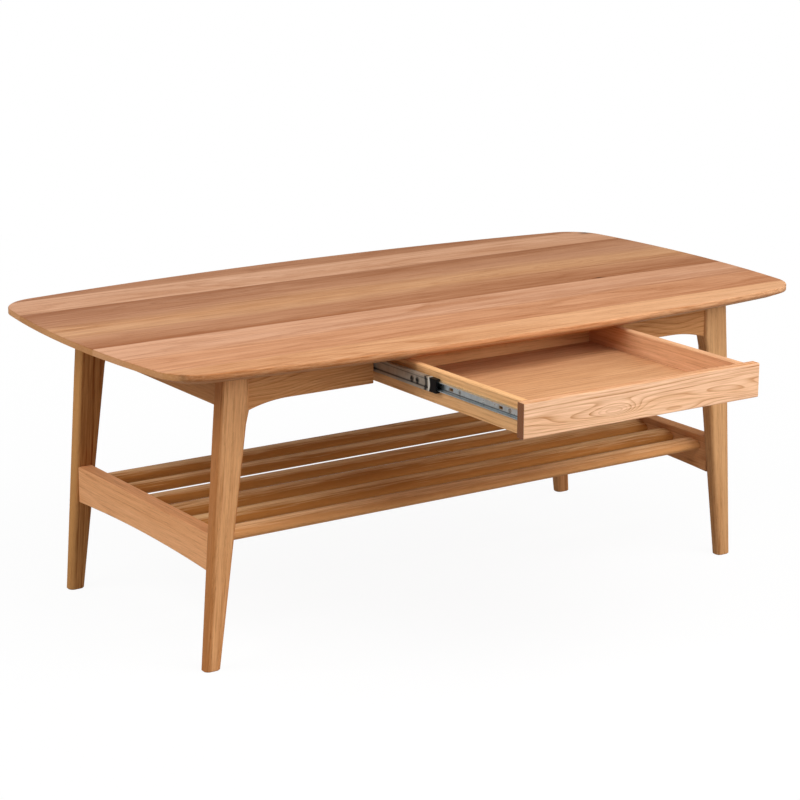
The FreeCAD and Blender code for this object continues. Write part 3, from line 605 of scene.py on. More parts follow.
    @staticmethod
    def _pick_colour(graph: MaterialGraph, steps: list[Value], shades: list[Colour]) -> Any:
        """The colour of the board that a point is on.

        Args:
            graph: The material's nodes.
            steps: How far the point is past each seam.
            shades: One colour for each board.

        Returns:
            That board's colour, a value or a socket.
        """
        chosen: Any = shades[0]
        for step, shade in zip(steps, shades[1:]):
            chosen = graph.mix(step, chosen, shade)
        return chosen

    def _eyes(self, run: Value, face: Value, deep: Value) -> tuple[Term, Value | None]:
        """How far eyes lift the rings, and how dark their spots are: knots, and painted shade behind the
        slides' slots.

        Args:
            run: Place along the grain.
            face: Place across the face.
            deep: Place in depth.

        Returns:
            The lift in rings and the darkness of the spots, if there are any.
        """
        rise: Term = 0.0
        knot: Value | None = None
        for eye in self.eyes:
            far = (run - eye.along) / eye.length
            wide = (face - eye.across) / eye.width
            reach = far * far + wide * wide
            rise = reach.fall() * eye.rise + rise
            if eye.knot:
                spot = reach.fall(self.knot_core) * eye.knot
                spot = spot * (deep.size() > eye.beyond) if eye.beyond else spot
                knot = spot if knot is None else knot + spot
        return rise, knot

    def _ring_count(self, graph: MaterialGraph, point: Point, steps: list[Value], rise: Term) -> Value:
        """How many rings lie between the tree's heart and a point.

        Args:
            graph: The material's nodes.
            point: Along the grain, across the face and in depth.
            steps: Which seams the point is past.
            rise: Lift by eyes, in rings.

        Returns:
            The count of rings, with its fraction.
        """
        run, face, deep = point
        bends = graph.add("ShaderNodeSeparateColor", sockets={0: SWAY.node(graph, point).outputs[1]})
        sway, heave = (Value(graph, socket) - MID for socket in bends.outputs[:2])
        heart_face = self._pick(steps, [board.heart[0] for board in self.boards])
        heart_deep = self._pick(steps, [board.heart[1] for board in self.boards])
        side = face - heart_face + sway * (2.0 * self.wander)
        depth = deep - heart_deep + heave * (4.0 * self.wander) + run * self.taper
        radius = (side * side + depth * depth) ** 0.5
        return radius / self.ring_width + rise + RIPPLE.value(graph, point) * self.ripple

    def _ring_line(self, graph: MaterialGraph, ring: Value) -> Value:
        """The dark start of each ring, of a strength of its own.

        Args:
            graph: The material's nodes.
            ring: The count of rings.

        Returns:
            How strong the line is.
        """
        part = ring.fract()
        start = (part * self.crisp).least(1.0)
        fade = (1.0 - part) ** (self.ring_fade * self.crisp)
        year = graph.add("ShaderNodeTexWhiteNoise", {"noise_dimensions": "1D"}, {"W": ring.floor()})
        return start * fade * (self.year_least + self.year_spread * Value(graph, year.outputs[0]))

    def _pores(self, graph: MaterialGraph, point: Point, line: Value) -> Value:
        """Short dark pores, most of them where a ring starts."""
        grainy = PORES.value(graph, point).past(start=0.06, gain=8.0)
        return grainy * (self.stray_pores + 1.1 * line).least(1.0) * self.pores

    def _seam_line(self, face: Value) -> Value:
        """Thin glue lines between the boards."""
        gaps = [(face - seam.place) / self.glue_half for seam in self.seams]
        return sum((gap * gap).fall() for gap in gaps)


@dataclass(frozen=True)
class Grime:
    """A painted line of shade along a slide, where a flange's recess falls into shade: its height, half its
    width, its strength.
    """

    height: float
    half: float
    strength: float

    def cover(self, point: Point) -> Value:
        """How much of a point the painted shade covers."""
        gap = (point[2] - self.height) / self.half
        return (gap * gap).fall()


@dataclass(frozen=True)
class Crease:
    """A bowed fold across a slide: its place along it, half its width and how far its middle bows forward."""

    place: float
    half: float
    bow: float
    middle: float = 0.409
    reach: float = 0.010
    strength: float = 0.9

    def cover(self, point: Point) -> Value:
        """How much of a point the fold covers.

        Args:
            point: The point on the table.

        Returns:
            From none to all, zero to one.
        """
        rise = (point[2] - self.middle) / self.reach
        gap = (point[1] - self.place + (1.0 - rise * rise) * self.bow) / self.half
        return ((gap * gap) ** 2).fall()


@dataclass(frozen=True)
class Pit:
    """Painted shade round a punched hole, or on the sheet behind it: its place along the slide, its half width
    and its height.
    """

    place: float
    half: float
    height: float = 0.409
    strength: float = 0.95

    def cover(self, point: Point) -> Value:
        """How much of a point the painted shade covers."""
        wide, tall = (point[1] - self.place) / self.half, (point[2] - self.height) / self.half
        return ((wide * wide + tall * tall) ** 2).fall()


@dataclass(frozen=True)
class ZincFinish:
    """Bright zinc on rolled steel, with drawing lines along the sheet, dulling, and marks of painted shade.

    Scales are per metre: across the drawing lines, along them, and of the dulling and the specks.
    """

    tint: str = "b9c6cc"
    dull: str = "8f9a9e"
    along: Axis = Axis.DEPTH
    roughness: float = 0.32
    metallic: float = 1.0
    marks: tuple[Grime | Crease | Pit, ...] = ()
    line_scale: float = 2200.0
    draw_scale: float = 24.0
    cloud_scale: float = 90.0
    speck_scale: float = 1400.0
    relief: float = 0.12
    relief_height: float = 0.0001

    def material(self, name: str) -> bpy.types.Material:
        """Make the finish.

        Args:
            name: The material's name.

        Returns:
            The new material.
        """
        graph = MaterialGraph(name)
        point = graph.place()
        scales = [self.draw_scale if axis is self.along else self.line_scale for axis in Axis]
        drawn = [part * scale for part, scale in zip(point, scales)]
        lines = graph.noise_value(drawn, detail=3.0, roughness=0.6)
        cloud = graph.noise_value([part * self.cloud_scale for part in point], detail=3.0, roughness=0.6)
        speck = graph.noise_value([part * self.speck_scale for part in point], detail=1.0)
        dulling = cloud.past(start=0.42, gain=2.2)
        base = graph.mix(dulling * 0.7 + lines * 0.3, colour(self.tint), colour(self.dull))
        base = graph.mix(speck.past(start=0.66, gain=6.0) * 0.35, base, SPECK)
        # Painted shade in the slide's recesses, folds and holes
        if self.marks:
            shade_cover = sum(mark.cover(point) * mark.strength for mark in self.marks)
            base = graph.mix(shade_cover.held(), base, PAINTED_SHADE)
        rough = self.roughness + 0.22 * (cloud - MID) + 0.16 * (lines - MID)
        sockets = {"Base Color": base, "Roughness": rough, "Metallic": self.metallic}
        return graph.surface(sockets, lines * 0.6 + speck * 0.4, self.relief, self.relief_height)


SCREW_ZINC = ZincFinish("c2c6c4", "8f918c", roughness=0.30)


@dataclass(frozen=True)
class PlasticFinish:
    """Moulded plastic with a fine spark-eroded grain, faint rubbing and pale tongues drawn on it."""

    tint: str = "060607"
    rubbed: str = "121314"
    tongue: str = "d8d2c6"
    roughness: float = 0.45
    gloss: float = 0.15
    tongues: tuple[Crease, ...] = ()
    grain_scale: float = 1800.0
    rub_scale: float = 160.0
    relief: float = 0.3
    relief_height: float = 0.00008

    def material(self, name: str) -> bpy.types.Material:
        """Make the finish.

        Args:
            name: The material's name.

        Returns:
            The new material.
        """
        graph = MaterialGraph(name)
        point = graph.place()
        grain = graph.noise_value([part * self.grain_scale for part in point])
        rub = graph.noise_value([part * self.rub_scale for part in point], detail=3.0, roughness=0.65)
        base = graph.mix(rub.past(start=0.45, gain=2.5) * 0.6, colour(self.tint), colour(self.rubbed))
        for tongue in self.tongues:
            base = graph.mix(tongue.cover(point), base, colour(self.tongue))
        rough = self.roughness + 0.2 * (rub - MID) + 0.12 * (grain - MID)
        sockets = {"Base Color": base, "Roughness": rough, "Specular IOR Level": self.gloss}
        return graph.surface(sockets, grain, self.relief, self.relief_height)


def dress(frame: dict[str, Any], node: str, material: bpy.types.Material) -> None:
    """Give a node of the frame its material.

    Args:
        frame: The loaded frame.
        node: The node's name.
        material: Its finish.
    """
    for slot in frame["nodes"][node].material_slots:
        slot.material = material
    log.info("dressed %s in %s", node, material.name)


class GeometryTree(NodeGraph):
    """A geometry node tree with named inputs, run once and turned into a plain mesh."""

    def __init__(self, name: str, inputs: dict[str, str]) -> None:
        """Make the tree and its inputs.

        Args:
            name: The tree's name.
            inputs: Each input's name and socket type.
        """
        super().__init__(bpy.data.node_groups.new(name, "GeometryNodeTree"))
        face = self.tree.interface
        face.new_socket("Geometry", in_out="INPUT", socket_type="NodeSocketGeometry")
        self.keys = {label: face.new_socket(label, in_out="INPUT", socket_type=kind).identifier
                     for label, kind in inputs.items()}
        face.new_socket("Geometry", in_out="OUTPUT", socket_type="NodeSocketGeometry")
        self.inputs = self.add("NodeGroupInput").outputs

    def close(self, instances: bpy.types.NodeSocket, material: bpy.types.Material, smooth: bool) -> None:
        """End the tree: real geometry, its shading and its material.

        Args:
            instances: What is realized.
            material: The finish of the whole result.
            smooth: Whether faces are shaded smooth.
        """
        real = self.add("GeometryNodeRealizeInstances", sockets={0: instances})
        shaded = self.add("GeometryNodeSetShadeSmooth", sockets={0: real.outputs[0], "Shade Smooth": smooth})
        painted = self.add("GeometryNodeSetMaterial", sockets={0: shaded.outputs[0], "Material": material})
        self.add("NodeGroupOutput", sockets={0: painted.outputs[0]})

    def grow(self, name: str, start: bpy.types.Mesh, amounts: dict[str, Any]) -> bpy.types.Object:
        """Run the tree on a mesh.

        Args:
            name: Name of the new piece.
            start: The mesh that the tree starts from.
            amounts: Value of each named input.

        Returns:
            The piece, with a plain mesh and no modifier.
        """
        piece = bpy.data.objects.new(name, start)
        bpy.context.scene.collection.objects.link(piece)
        modifier = piece.modifiers.new("grow", "NODES")
        modifier.node_group = self.tree
        for label, amount in amounts.items():
            modifier[self.keys[label]] = amount
        graph = bpy.context.evaluated_depsgraph_get()
        mesh = bpy.data.meshes.new_from_object(piece.evaluated_get(graph))
        piece.modifiers.clear()
        piece.data = mesh
        return piece


@dataclass
class Screws:
    """A set of equal cross-slot screws. Lengths are in metres."""

    material: bpy.types.Material
    head_width: float = SCREW_HEAD
    head_height: float = 0.002
    outer_share: float = 0.72
    inner_share: float = 1.0
    shank_width: float = 0.0035
    shank_length: float = 0.012
    tip_width: float = 0.0008
    slot_width: float = 0.0040
    slot_height: float = 0.0009
    slot_depth: float = 0.0009
    head_sides: int = 28
    shank_sides: int = 14

    def build(self, name: str, spots: list[Spot]) -> bpy.types.Object:
        """Put a screw at each spot.

        Args:
            name: Name of the new piece.
            spots: Place of each head's underside, and the direction the screw is driven.

        Returns:
            The screws as one piece.
        """
        start = bpy.data.meshes.new(name + "_spots")
        start.from_pydata([place for place, _ in spots], [], [])
        drive = start.attributes.new("drive", "FLOAT_VECTOR", "POINT")
        for item, (_, way) in zip(drive.data, spots):
            item.vector = way
        piece = self._tree().grow(name, start, {
            "Head Height": self.head_height,
            "Outer Radius": self.head_width / 2 * self.outer_share,
            "Inner Radius": self.head_width / 2 * self.inner_share,
            "Shank Radius": self.shank_width / 2, "Tip Radius": self.tip_width / 2,
            "Shank Length": self.shank_length,
            "Slot Length": (self.slot_width, self.slot_height, 2 * self.slot_depth),
            "Slot Breadth": (self.slot_height, self.slot_width, 2 * self.slot_depth)})
        log.info("built %s: %d screws", name, len(spots))
        return piece

    def _tree(self) -> GeometryTree:
        """The tree that makes one screw and repeats it on the spots.

        Returns:
            The tree, with the screw's sizes as inputs.
        """
        number, vector = "NodeSocketFloat", "NodeSocketVector"
        tree = GeometryTree("screw_tree", {
            "Head Height": number, "Outer Radius": number, "Inner Radius": number, "Shank Radius": number,
            "Tip Radius": number, "Shank Length": number, "Slot Length": vector, "Slot Breadth": vector})
        given = tree.inputs
        head = tree.add("GeometryNodeMeshCone", sockets={
            "Vertices": self.head_sides, "Radius Top": given["Inner Radius"],
            "Radius Bottom": given["Outer Radius"], "Depth": given["Head Height"]})
        drop = tree.add("ShaderNodeMath", {"operation": "MULTIPLY"}, {0: given["Head Height"], 1: -1.0})
        down = tree.add("ShaderNodeCombineXYZ", sockets={2: drop.outputs[0]})
        seated = tree.add("GeometryNodeTransform", sockets={0: head.outputs[0], "Translation": down.outputs[0]})
        blades = [tree.add("GeometryNodeMeshCube", sockets={"Size": given[label]}).outputs[0]
                  for label in ("Slot Length", "Slot Breadth")]
        cross = tree.add("GeometryNodeMeshBoolean", {"operation": "UNION"}, {1: blades})
        cross_seat = tree.add("GeometryNodeTransform", sockets={
            0: cross.outputs[0], "Translation": down.outputs[0]})
        slotted = tree.add("GeometryNodeMeshBoolean", {"operation": "DIFFERENCE"},
                           {0: seated.outputs[0], 1: cross_seat.outputs[0]})
        shank = tree.add("GeometryNodeMeshCone", sockets={
            "Vertices": self.shank_sides, "Radius Top": given["Tip Radius"],
            "Radius Bottom": given["Shank Radius"], "Depth": given["Shank Length"]})
        whole = tree.add("GeometryNodeJoinGeometry", sockets={0: [slotted.outputs[0], shank.outputs[0]]})
        way = tree.add("GeometryNodeInputNamedAttribute", {"data_type": "FLOAT_VECTOR"}, {"Name": "drive"})
        turn = tree.add("FunctionNodeAlignRotationToVector", {"axis": "Z"}, {"Vector": way.outputs[0]})
        spread = tree.add("GeometryNodeInstanceOnPoints", sockets={
            "Points": given["Geometry"], "Instance": whole.outputs[0], "Rotation": turn.outputs[0]})
        tree.close(spread.outputs[0], self.material, False)
        return tree


@dataclass
class Balls:
    """Two rows of bearing balls in a cage."""

    material: bpy.types.Material
    count: int = 6
    roundness: int = 3

    def build(self, name: str, node: str) -> bpy.types.Object:
        """Fill a node's place with balls.

        Args:
            name: Name of the new piece.
            node: The group of balls in the frame that it stands for.

        Returns:
            The balls as one piece.
        """
        low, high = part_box(node)
        radius = (high.x - low.x) / 2
        pitch = (high.y - low.y - 2 * radius) / (self.count - 1)
        first = Vector((low.x + radius, low.y + radius, low.z + radius))
        upper = Vector((first.x, first.y, high.z - radius))
        piece = self._tree().grow(name, bpy.data.meshes.new(name + "_start"), {
            "Count": self.count, "Radius": radius, "Lower Start": first, "Upper Start": upper,
            "Pitch": Vector((0.0, pitch, 0.0))})
        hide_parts(node)
        log.info("built %s: two rows of %d balls", name, self.count)
        return piece

    def _tree(self) -> GeometryTree:
        """The tree that repeats one ball along two rows.

        Returns:
            The tree, with the rows' sizes as inputs.
        """
        vector = "NodeSocketVector"
        tree = GeometryTree("ball_tree", {
            "Count": "NodeSocketInt", "Radius": "NodeSocketFloat", "Lower Start": vector, "Upper Start": vector,
            "Pitch": vector})
        given = tree.inputs
        rows = [tree.add("GeometryNodeMeshLine", sockets={
            "Count": given["Count"], "Start Location": given[label], "Offset": given["Pitch"]}).outputs[0]
            for label in ("Lower Start", "Upper Start")]
        both = tree.add("GeometryNodeJoinGeometry", sockets={0: rows})
        ball = tree.add("GeometryNodeMeshIcoSphere", sockets={
            "Radius": given["Radius"], "Subdivisions": self.roundness})
        spread = tree.add("GeometryNodeInstanceOnPoints", sockets={
            "Points": both.outputs[0], "Instance": ball.outputs[0]})
        tree.close(spread.outputs[0], self.material, True)
        return tree


@dataclass
class TableTop:
    """The boat-shaped top, glued up from boards that run its length."""

    seams: tuple[Seam, ...] = (Seam(-0.240, 0.004), Seam(-0.154, 0.012), Seam(-0.070), Seam(0.010, 0.030),
                               Seam(0.0865, 0.036), Seam(0.180), Seam(0.267, 0.005))

    def finish(self) -> OakFinish:
        """The boards from front to rear, with the eyes and knots of their figure.

        Returns:
            The top's finish.
        """
        # The fifth number of a board is its fade along the top: partly painted falloff of light toward the ends
        boards = (
            Board(Tone("d59e72"), (-0.300, 0.300), 0.3, 0.0, -0.38),
            Board(Tone("ca9068"), (-0.185, 0.330), 1.7, -0.10, 0.25),
            Board(Tone("ce9976"), (-0.095, 0.280), 3.1, -0.20, 0.35),
            Board(Tone("b57e59"), (-0.020, 0.320), 4.9, -0.60),
            Board(Tone("c9956b"), (0.060, 0.280), 6.3, -0.05, -0.10),
            Board(Tone("b6815e"), (0.170, 0.300), 7.7, 0.75, -0.40),
            Board(Tone("d5a27f", 0.28), (0.215, 0.300), 9.2),
            Board(Tone("b47e5a"), (0.310, 0.350), 11.0, 0.25),
        )
        eyes = (
            Eye(-0.470, -0.292, 0.170, 0.030, 4.5),
            Eye(-0.298, -0.048, 0.075, 0.012, 3.0),
            Eye(0.325, -0.066, 0.030, 0.010, 2.0, 0.9),
            Eye(-0.250, 0.152, 0.120, 0.018, 3.0),
            Eye(-0.060, 0.222, 0.140, 0.016, 3.5),
            Eye(0.156, 0.044, 0.050, 0.010, 2.5),
            Eye(0.356, 0.052, 0.050, 0.010, 2.5),
            Eye(0.548, 0.250, 0.045, 0.030, 2.0, 0.75),
            Eye(-0.548, -0.268, 0.020, 0.020, 1.0, 0.9),
        )
        # Painted shade: the front and rear edges are darker, and more so on the lower bevel below low_edge
        return OakFinish(boards, seams=self.seams, eyes=eyes, streak=1.15, thread=1.4, drift=1.5,
                         end_grain=0.6, end_tone="cf9761", side_grain=0.30, rim=0.6, low_edge=0.4455)

    def build(self, frame: dict[str, Any]) -> None:
        """Dress the top."""
        dress(frame, "table_top", self.finish().material("oiled_oak_top"))


@dataclass
class LegFrame:
    """Four splayed legs, the aprons between them and the rails that carry the slides."""

    front_left: Tone = Tone("dba16d", 0.30)
    front_right: Tone = Tone("cd9967", 0.28)
    rear_left: Tone = Tone("b87f48", 0.46)
    rear_right: Tone = Tone("c28858", 0.34)
    short_apron: Tone = Tone("c88e5a", 0.36)
    rear_apron: Tone = Tone("c08855", 0.34)
    end_apron: Tone = Tone("c98e5a", 0.30)
    rail_tone: Tone = Tone("d9b384", 0.22)
    leg_heart: tuple[float, float] = (0.457, 0.2112)
    leg_heart_shift: tuple[float, float] = (0.03, 0.07)
    leg_cuts: tuple[float, float] = (3.7, 1.9)
    leg_lean: float = 0.075
    foot_fade: float = -0.55
    middle_height: float = 0.400
    rail_heart: tuple[float, float] = (0.40, 0.30)
    rail_cut: float = 2.0

    def build(self, frame: dict[str, Any]) -> None:
        """Dress every piece of the frame, each cut from its own wood.

        Args:
            frame: The loaded frame.
        """
        # The second number is painted shade: how much darker a leg's outer and inner faces are than its front,
        # or lighter where it is negative
        legs = {"front_left": (self.front_left, 0.85), "front_right": (self.front_right, 0.2),
                "rear_left": (self.rear_left, -0.75), "rear_right": (self.rear_right, -0.75)}
        for depth_word, depth in (("front", -1), ("rear", 1)):
            for side in Side:
                corner = f"{depth_word}_{side.word}"
                tone, side_grain = legs[corner]
                finish = self._leg(tone, side, depth, side_grain)
                dress(frame, corner + "_leg", finish.material(f"oiled_oak_{corner}_leg"))
        for name, finish in self._aprons().items():
            dress(frame, name, finish.material("oiled_oak_" + name))
        for side in Side:
            name = f"{side.word}_drawer_rail"
            heart = (self.rail_heart[0], side.value * self.rail_heart[1])
            board = Board(self.rail_tone, heart, self.rail_cut + side.value)
            finish = OakFinish((board,), Axis.DEPTH, Axis.HEIGHT, ring_width=0.0035, pores=0.1, roughness=0.62)
            dress(frame, name, finish.material("planed_pine_" + name))

    def _leg(self, tone: Tone, side: Side, depth: int, side_grain: float) -> OakFinish:
        """Straight grain down a leg, along its lean.

        Args:
            tone: The leg's wood.
            side: Which side the leg is on.
            depth: Minus one in front, one at the rear.
            side_grain: Painted shade, how much darker its outer and inner faces are than its front.

        Returns:
            The leg's finish.
        """
        signs = (side.value, depth)
        across, deep = (sign * place + shift for sign, place, shift in
                        zip(signs, self.leg_heart, self.leg_heart_shift))
        cut = sum(sign * step for sign, step in zip(signs, self.leg_cuts))
        # Front legs get painted shade, darker toward the foot
        board = Board(tone, (across, deep), cut, fade=self.foot_fade if depth < 0 else 0.0)
        grain = ({"figure": 0.36, "streak": 0.42, "thread": 1.35} if depth < 0 else
                 {"figure": 0.8, "streak": 0.7, "thread": 2.1})
        return OakFinish((board,), Axis.HEIGHT, Axis.LENGTH, lean=-side.value * self.leg_lean, wander=0.003,
                         ring_width=0.0042, drift=0.70, pores=0.90, side_grain=side_grain, **grain)

    def _aprons(self) -> dict[str, OakFinish]:
        """Finish of each apron, with wavy figure on the two short ones in front.

        Returns:
            The finishes by node.
        """
        short = {"figure": 0.62, "ring_width": 0.0042, "wander": 0.034, "taper": 0.07}
        tone, middle = self.short_apron, self.middle_height
        aprons = {
            "front_left_apron": (Board(tone, (middle - 0.03, -0.14), 0.9), Axis.LENGTH, short),
            "front_right_apron": (Board(tone, (middle - 0.02, -0.13), 5.2), Axis.LENGTH, short),
            "rear_apron": (Board(self.rear_apron, (middle + 0.02, 0.13), 8.8), Axis.LENGTH, {}),
            "left_end_apron": (Board(self.end_apron, (middle - 0.02, -0.52), 1.4), Axis.DEPTH, {}),
            "right_end_apron": (Board(self.end_apron, (middle + 0.01, 0.53), 6.1), Axis.DEPTH, {}),
        }
        return {name: OakFinish((board,), along, Axis.HEIGHT, **grain)
                for name, (board, along, grain) in aprons.items()}


@dataclass
class Shelf:
    """Two arched stretchers and the six oval slats between them."""

    slat_count: int = 6
    slat_tones: tuple[Tone, ...] = (Tone("f0c18f", 0.34), Tone("e3b682", 0.44))
    slat_heart_sway: float = 0.03
    slat_heart_turn: float = 2.4
    slat_heart_height: float = 0.14
    slat_heart_step: float = 0.012
    slat_cut: float = 2.9
    # The right stretcher's darker tone is painted shade: its inner face lies in shade
    stretcher_tones: tuple[Tone, Tone] = (Tone("eeae79", 0.26), Tone("dca06d", 0.28))
    stretcher_heart: tuple[float, float] = (0.150, 0.395)
    stretcher_cut: float = 2.6

    def build(self, frame: dict[str, Any]) -> None:
        """Dress the stretchers and the slats, each cut from its own wood.

        Args:
            frame: The loaded frame.
        """
        for side, tone in zip(Side, self.stretcher_tones):
            name = f"{side.word}_stretcher"
            heart = (self.stretcher_heart[0], side.value * self.stretcher_heart[1])
            board = Board(tone, heart, self.stretcher_cut * side.value)
            finish = OakFinish((board,), Axis.DEPTH, Axis.HEIGHT, streak=0.45, drift=0.7)
            dress(frame, name, finish.material("oiled_oak_" + name))
        for index in range(1, self.slat_count + 1):
            name = f"shelf_slat_{index}"
            low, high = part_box(name)
            heart = ((low.y + high.y) / 2 + self.slat_heart_sway * math.cos(index * self.slat_heart_turn),
                     self.slat_heart_height + self.slat_heart_step * (index % 3))
            board = Board(self.slat_tones[min(index, len(self.slat_tones)) - 1], heart, self.slat_cut * index)
            # Painted shade: the slats' front and rear sides are darker than their tops
            finish = OakFinish((board,), ring_width=0.0045, streak=1.1, thread=1.7, side_grain=1.25)
            dress(frame, name, finish.material("oiled_oak_" + name))


@dataclass
class Drawer:
    """The drawer box: a flat-sawn front, straight-grained sides and back, a veneered bottom and dowels."""

    front_tone: Tone = Tone("ebba92", 0.44)
    box_tone: Tone = Tone("eab57e", 0.24)
    right_tone: Tone = Tone("e4af84", 0.26)
    bottom_tone: Tone = Tone("cf9a6e", 0.34)
    dowel_tone: Tone = Tone("d9b58c", 0.16)
    # Where the painted shade behind the slides' slots lies, and its size and depth
    slot_offset: float = 0.020
    mark_size: tuple[float, float] = (0.026, 0.015)
    mark_depth: float = 0.0005

    def build(self, frame: dict[str, Any]) -> None:
        """Dress the drawer's pieces."""
        for name, finish in self._finishes().items():
            dress(frame, name, finish.material("oiled_oak_" + name))

    def _finishes(self) -> dict[str, OakFinish]:
        """Finish of each piece of the box.

        Returns:
            The finishes by node.
        """
        length, depth, height = Axis.LENGTH, Axis.DEPTH, Axis.HEIGHT
        # Painted shade behind the slides' empty slots, as dark spots on the sides' outer faces
        marks = {"eyes": self._pilot_marks()}
        front_eyes = (Eye(-0.049, 0.3975, 0.034, 0.0105, 4.2), Eye(-0.095, 0.3970, 0.080, 0.0105, 3.4),
                      Eye(0.196, 0.3925, 0.052, 0.0085, 3.2), Eye(0.140, 0.4010, 0.060, 0.0080, 2.6),
                      Eye(0.055, 0.384, 0.060, 0.009, 2.6))
        # The side shade amount is painted shade on the front's top and bottom edges
        front = {"eyes": front_eyes, "ring_width": 0.0036, "crisp": 13.0, "figure": 0.85, "streak": 0.5,
                 "thread": 1.2, "drift": 0.6, "pores": 0.0, "dashes": 0.0, "end_grain": 0.92,
                 "end_tone": "7c4b30", "side_grain": 0.35, "relief": 0.08}
        veneer = {"ring_width": 0.0075, "figure": 0.3}
        turned = {"ring_width": 0.003, "pores": 0.15, "roughness": 0.6}
        pieces = {
            "drawer_front": (Board(self.front_tone, (0.330, -0.470), 0.4), length, height, front),
            "drawer_left_side": (Board(self.box_tone, (0.33, -0.26), 1.1), depth, height, marks),
            "drawer_right_side": (Board(self.right_tone, (0.34, 0.12), 4.4), depth, height, marks),
            "drawer_back": (Board(self.box_tone, (0.35, -0.29), 7.3), length, height, {}),
            "drawer_bottom": (Board(self.bottom_tone, (-0.10, 0.23), 2.2), length, depth, veneer),
            "drawer_dowels": (Board(self.dowel_tone, (0.30, 0.10), 0.0), depth, height, turned),
        }
        return {name: OakFinish((board,), along, across, **grain)
                for name, (board, along, across, grain) in pieces.items()}

    def _pilot_marks(self) -> tuple[Eye, ...]:
        """Painted shade on the sides' outer faces, behind the empty slots of the slides, drawn as dark spots so
        that the slots look dark.

        Returns:
            One dark spot of painted shade for each slot.
        """
        low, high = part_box("slide_drawer_screws")
        first, last = low.y + SCREW_HEAD / 2, high.y - SCREW_HEAD / 2
        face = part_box("drawer_right_side")[1].x - self.mark_depth
        middle = (low.z + high.z) / 2
        length, width = self.mark_size
        return tuple(Eye(first + (last - first) * part + self.slot_offset, middle, length, width,
                         rise=0.0, knot=1.0, beyond=face) for part in (0.0, 0.5, 1.0))


@dataclass
class Slides:
    """The pair of ball-bearing slides: zinc members, cages, balls, plastic end caps and levers, and screws."""

    # Painted shade: a dark line along the lower flange, and dark spots behind the middle member's holes so that
    # they look black
    sheet: ZincFinish = ZincFinish("dfeaee", "b9c6ca", marks=(
        Grime(0.4050, 0.0009, 0.75), Pit(-0.3205, 0.008), Pit(-0.3070, 0.008)))
    outer_sheet: ZincFinish = ZincFinish()
    # Painted reflection: the brownish tint stands in for the wood that the middle member reflects. Its marks
    # are painted shade along the flanges, in the front fold and round the holes
    worn_sheet: ZincFinish = ZincFinish("b5ab9c", "857a6a", roughness=0.36, metallic=0.45, marks=(
        Grime(0.4040, 0.0015, 0.92), Grime(0.4155, 0.0008, 0.55), Crease(-0.3442, 0.0032, 0.0025),
        Pit(-0.3252, 0.0046), Pit(-0.3117, 0.0046)))
    cage_sheet: ZincFinish = ZincFinish("c3bfae", "8d8a7c", roughness=0.38)
    ball_steel: ZincFinish = ZincFinish("c9cccf", "a4a8ab", roughness=0.16)
    plastic: PlasticFinish = PlasticFinish(tongues=(Crease(-0.3512, 0.0022, 0.0025),))
    screw: ZincFinish = SCREW_ZINC
    screw_count: int = 3
    screw_inner_share: float = 0.55
    sheet_thickness: float = 0.0012
    screw_bite: float = 0.010
    parts: dict[str, bpy.types.Material] = field(default_factory=dict)

    def build(self, frame: dict[str, Any]) -> None:
        """Dress the members and put in balls and screws.

        Args:
            frame: The loaded frame.
        """
        self.parts = {
            "outer": self.outer_sheet.material("bright_zinc_outer"),
            "inner": self.sheet.material("bright_zinc_inner"),
            "middle": self.worn_sheet.material("oiled_zinc_middle"),
            "cage": self.cage_sheet.material("cage_steel"),
            "ball": self.ball_steel.material("ball_steel"),
            "plastic": self.plastic.material("black_plastic")}
        for side in Side:
            self._dress_side(frame, side.word)
            self._add_balls(side.word)
        screw = self.screw.material("zinc_screw")
        self._add_screws("slide_drawer_screws", "drawer", -1, screw)
        self._add_screws("slide_rail_screws", "table", 1, screw)

    def _dress_side(self, frame: dict[str, Any], word: str) -> None:
        """Give one slide's members, cages and plastics their finishes.

        Args:
            frame: The loaded frame.
            word: The slide's side.
        """
        finishes = {"outer": "outer", "middle": "middle", "inner": "inner", "outer_cage": "cage",
                    "inner_cage": "cage", "end_cap": "plastic", "lever": "plastic"}
        for piece, finish in finishes.items():
            dress(frame, f"{word}_slide_{piece}", self.parts[finish])

    def _add_balls(self, word: str) -> None:
        """Fill one slide's two cages with balls.

        Args:
            word: The slide's side.
        """
        for cage in ("outer", "inner"):
            node = f"{word}_slide_{cage}_balls"
            piece = Balls(self.parts["ball"]).build(f"{word}_{cage}_bearing_balls", node)
            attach(piece, f"{word}_{cage}_cage")

    def _add_screws(self, node: str, body: str, way: int, material: bpy.types.Material) -> None:
        """Put slotted screws in place of one group of slide screws.

        Args:
            node: The group of screws in the frame.
            body: The body they ride on.
            way: One where they are driven away from the drawer, minus one where towards it.
            material: Their finish.
        """
        low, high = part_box(node)
        first, last = low.y + SCREW_HEAD / 2, high.y - SCREW_HEAD / 2
        pitch = (last - first) / (self.screw_count - 1)
        height = (low.z + high.z) / 2
        edge = high.x - (self.sheet_thickness + self.screw_bite) if way > 0 else high.x
        spots = []
        for side in Side:
            for index in range(self.screw_count):
                place = Vector((side.value * edge, first + index * pitch, height))
                drive = Vector((side.value * way, 0.0, 0.0))
                spots.append((place + drive * self.sheet_thickness, drive))
        screws = Screws(material, head_height=self.sheet_thickness, outer_share=1.0,
                        inner_share=self.screw_inner_share, shank_length=self.screw_bite)
        piece = screws.build(node + "_slotted", spots)
        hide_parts(node)
        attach(piece, body)


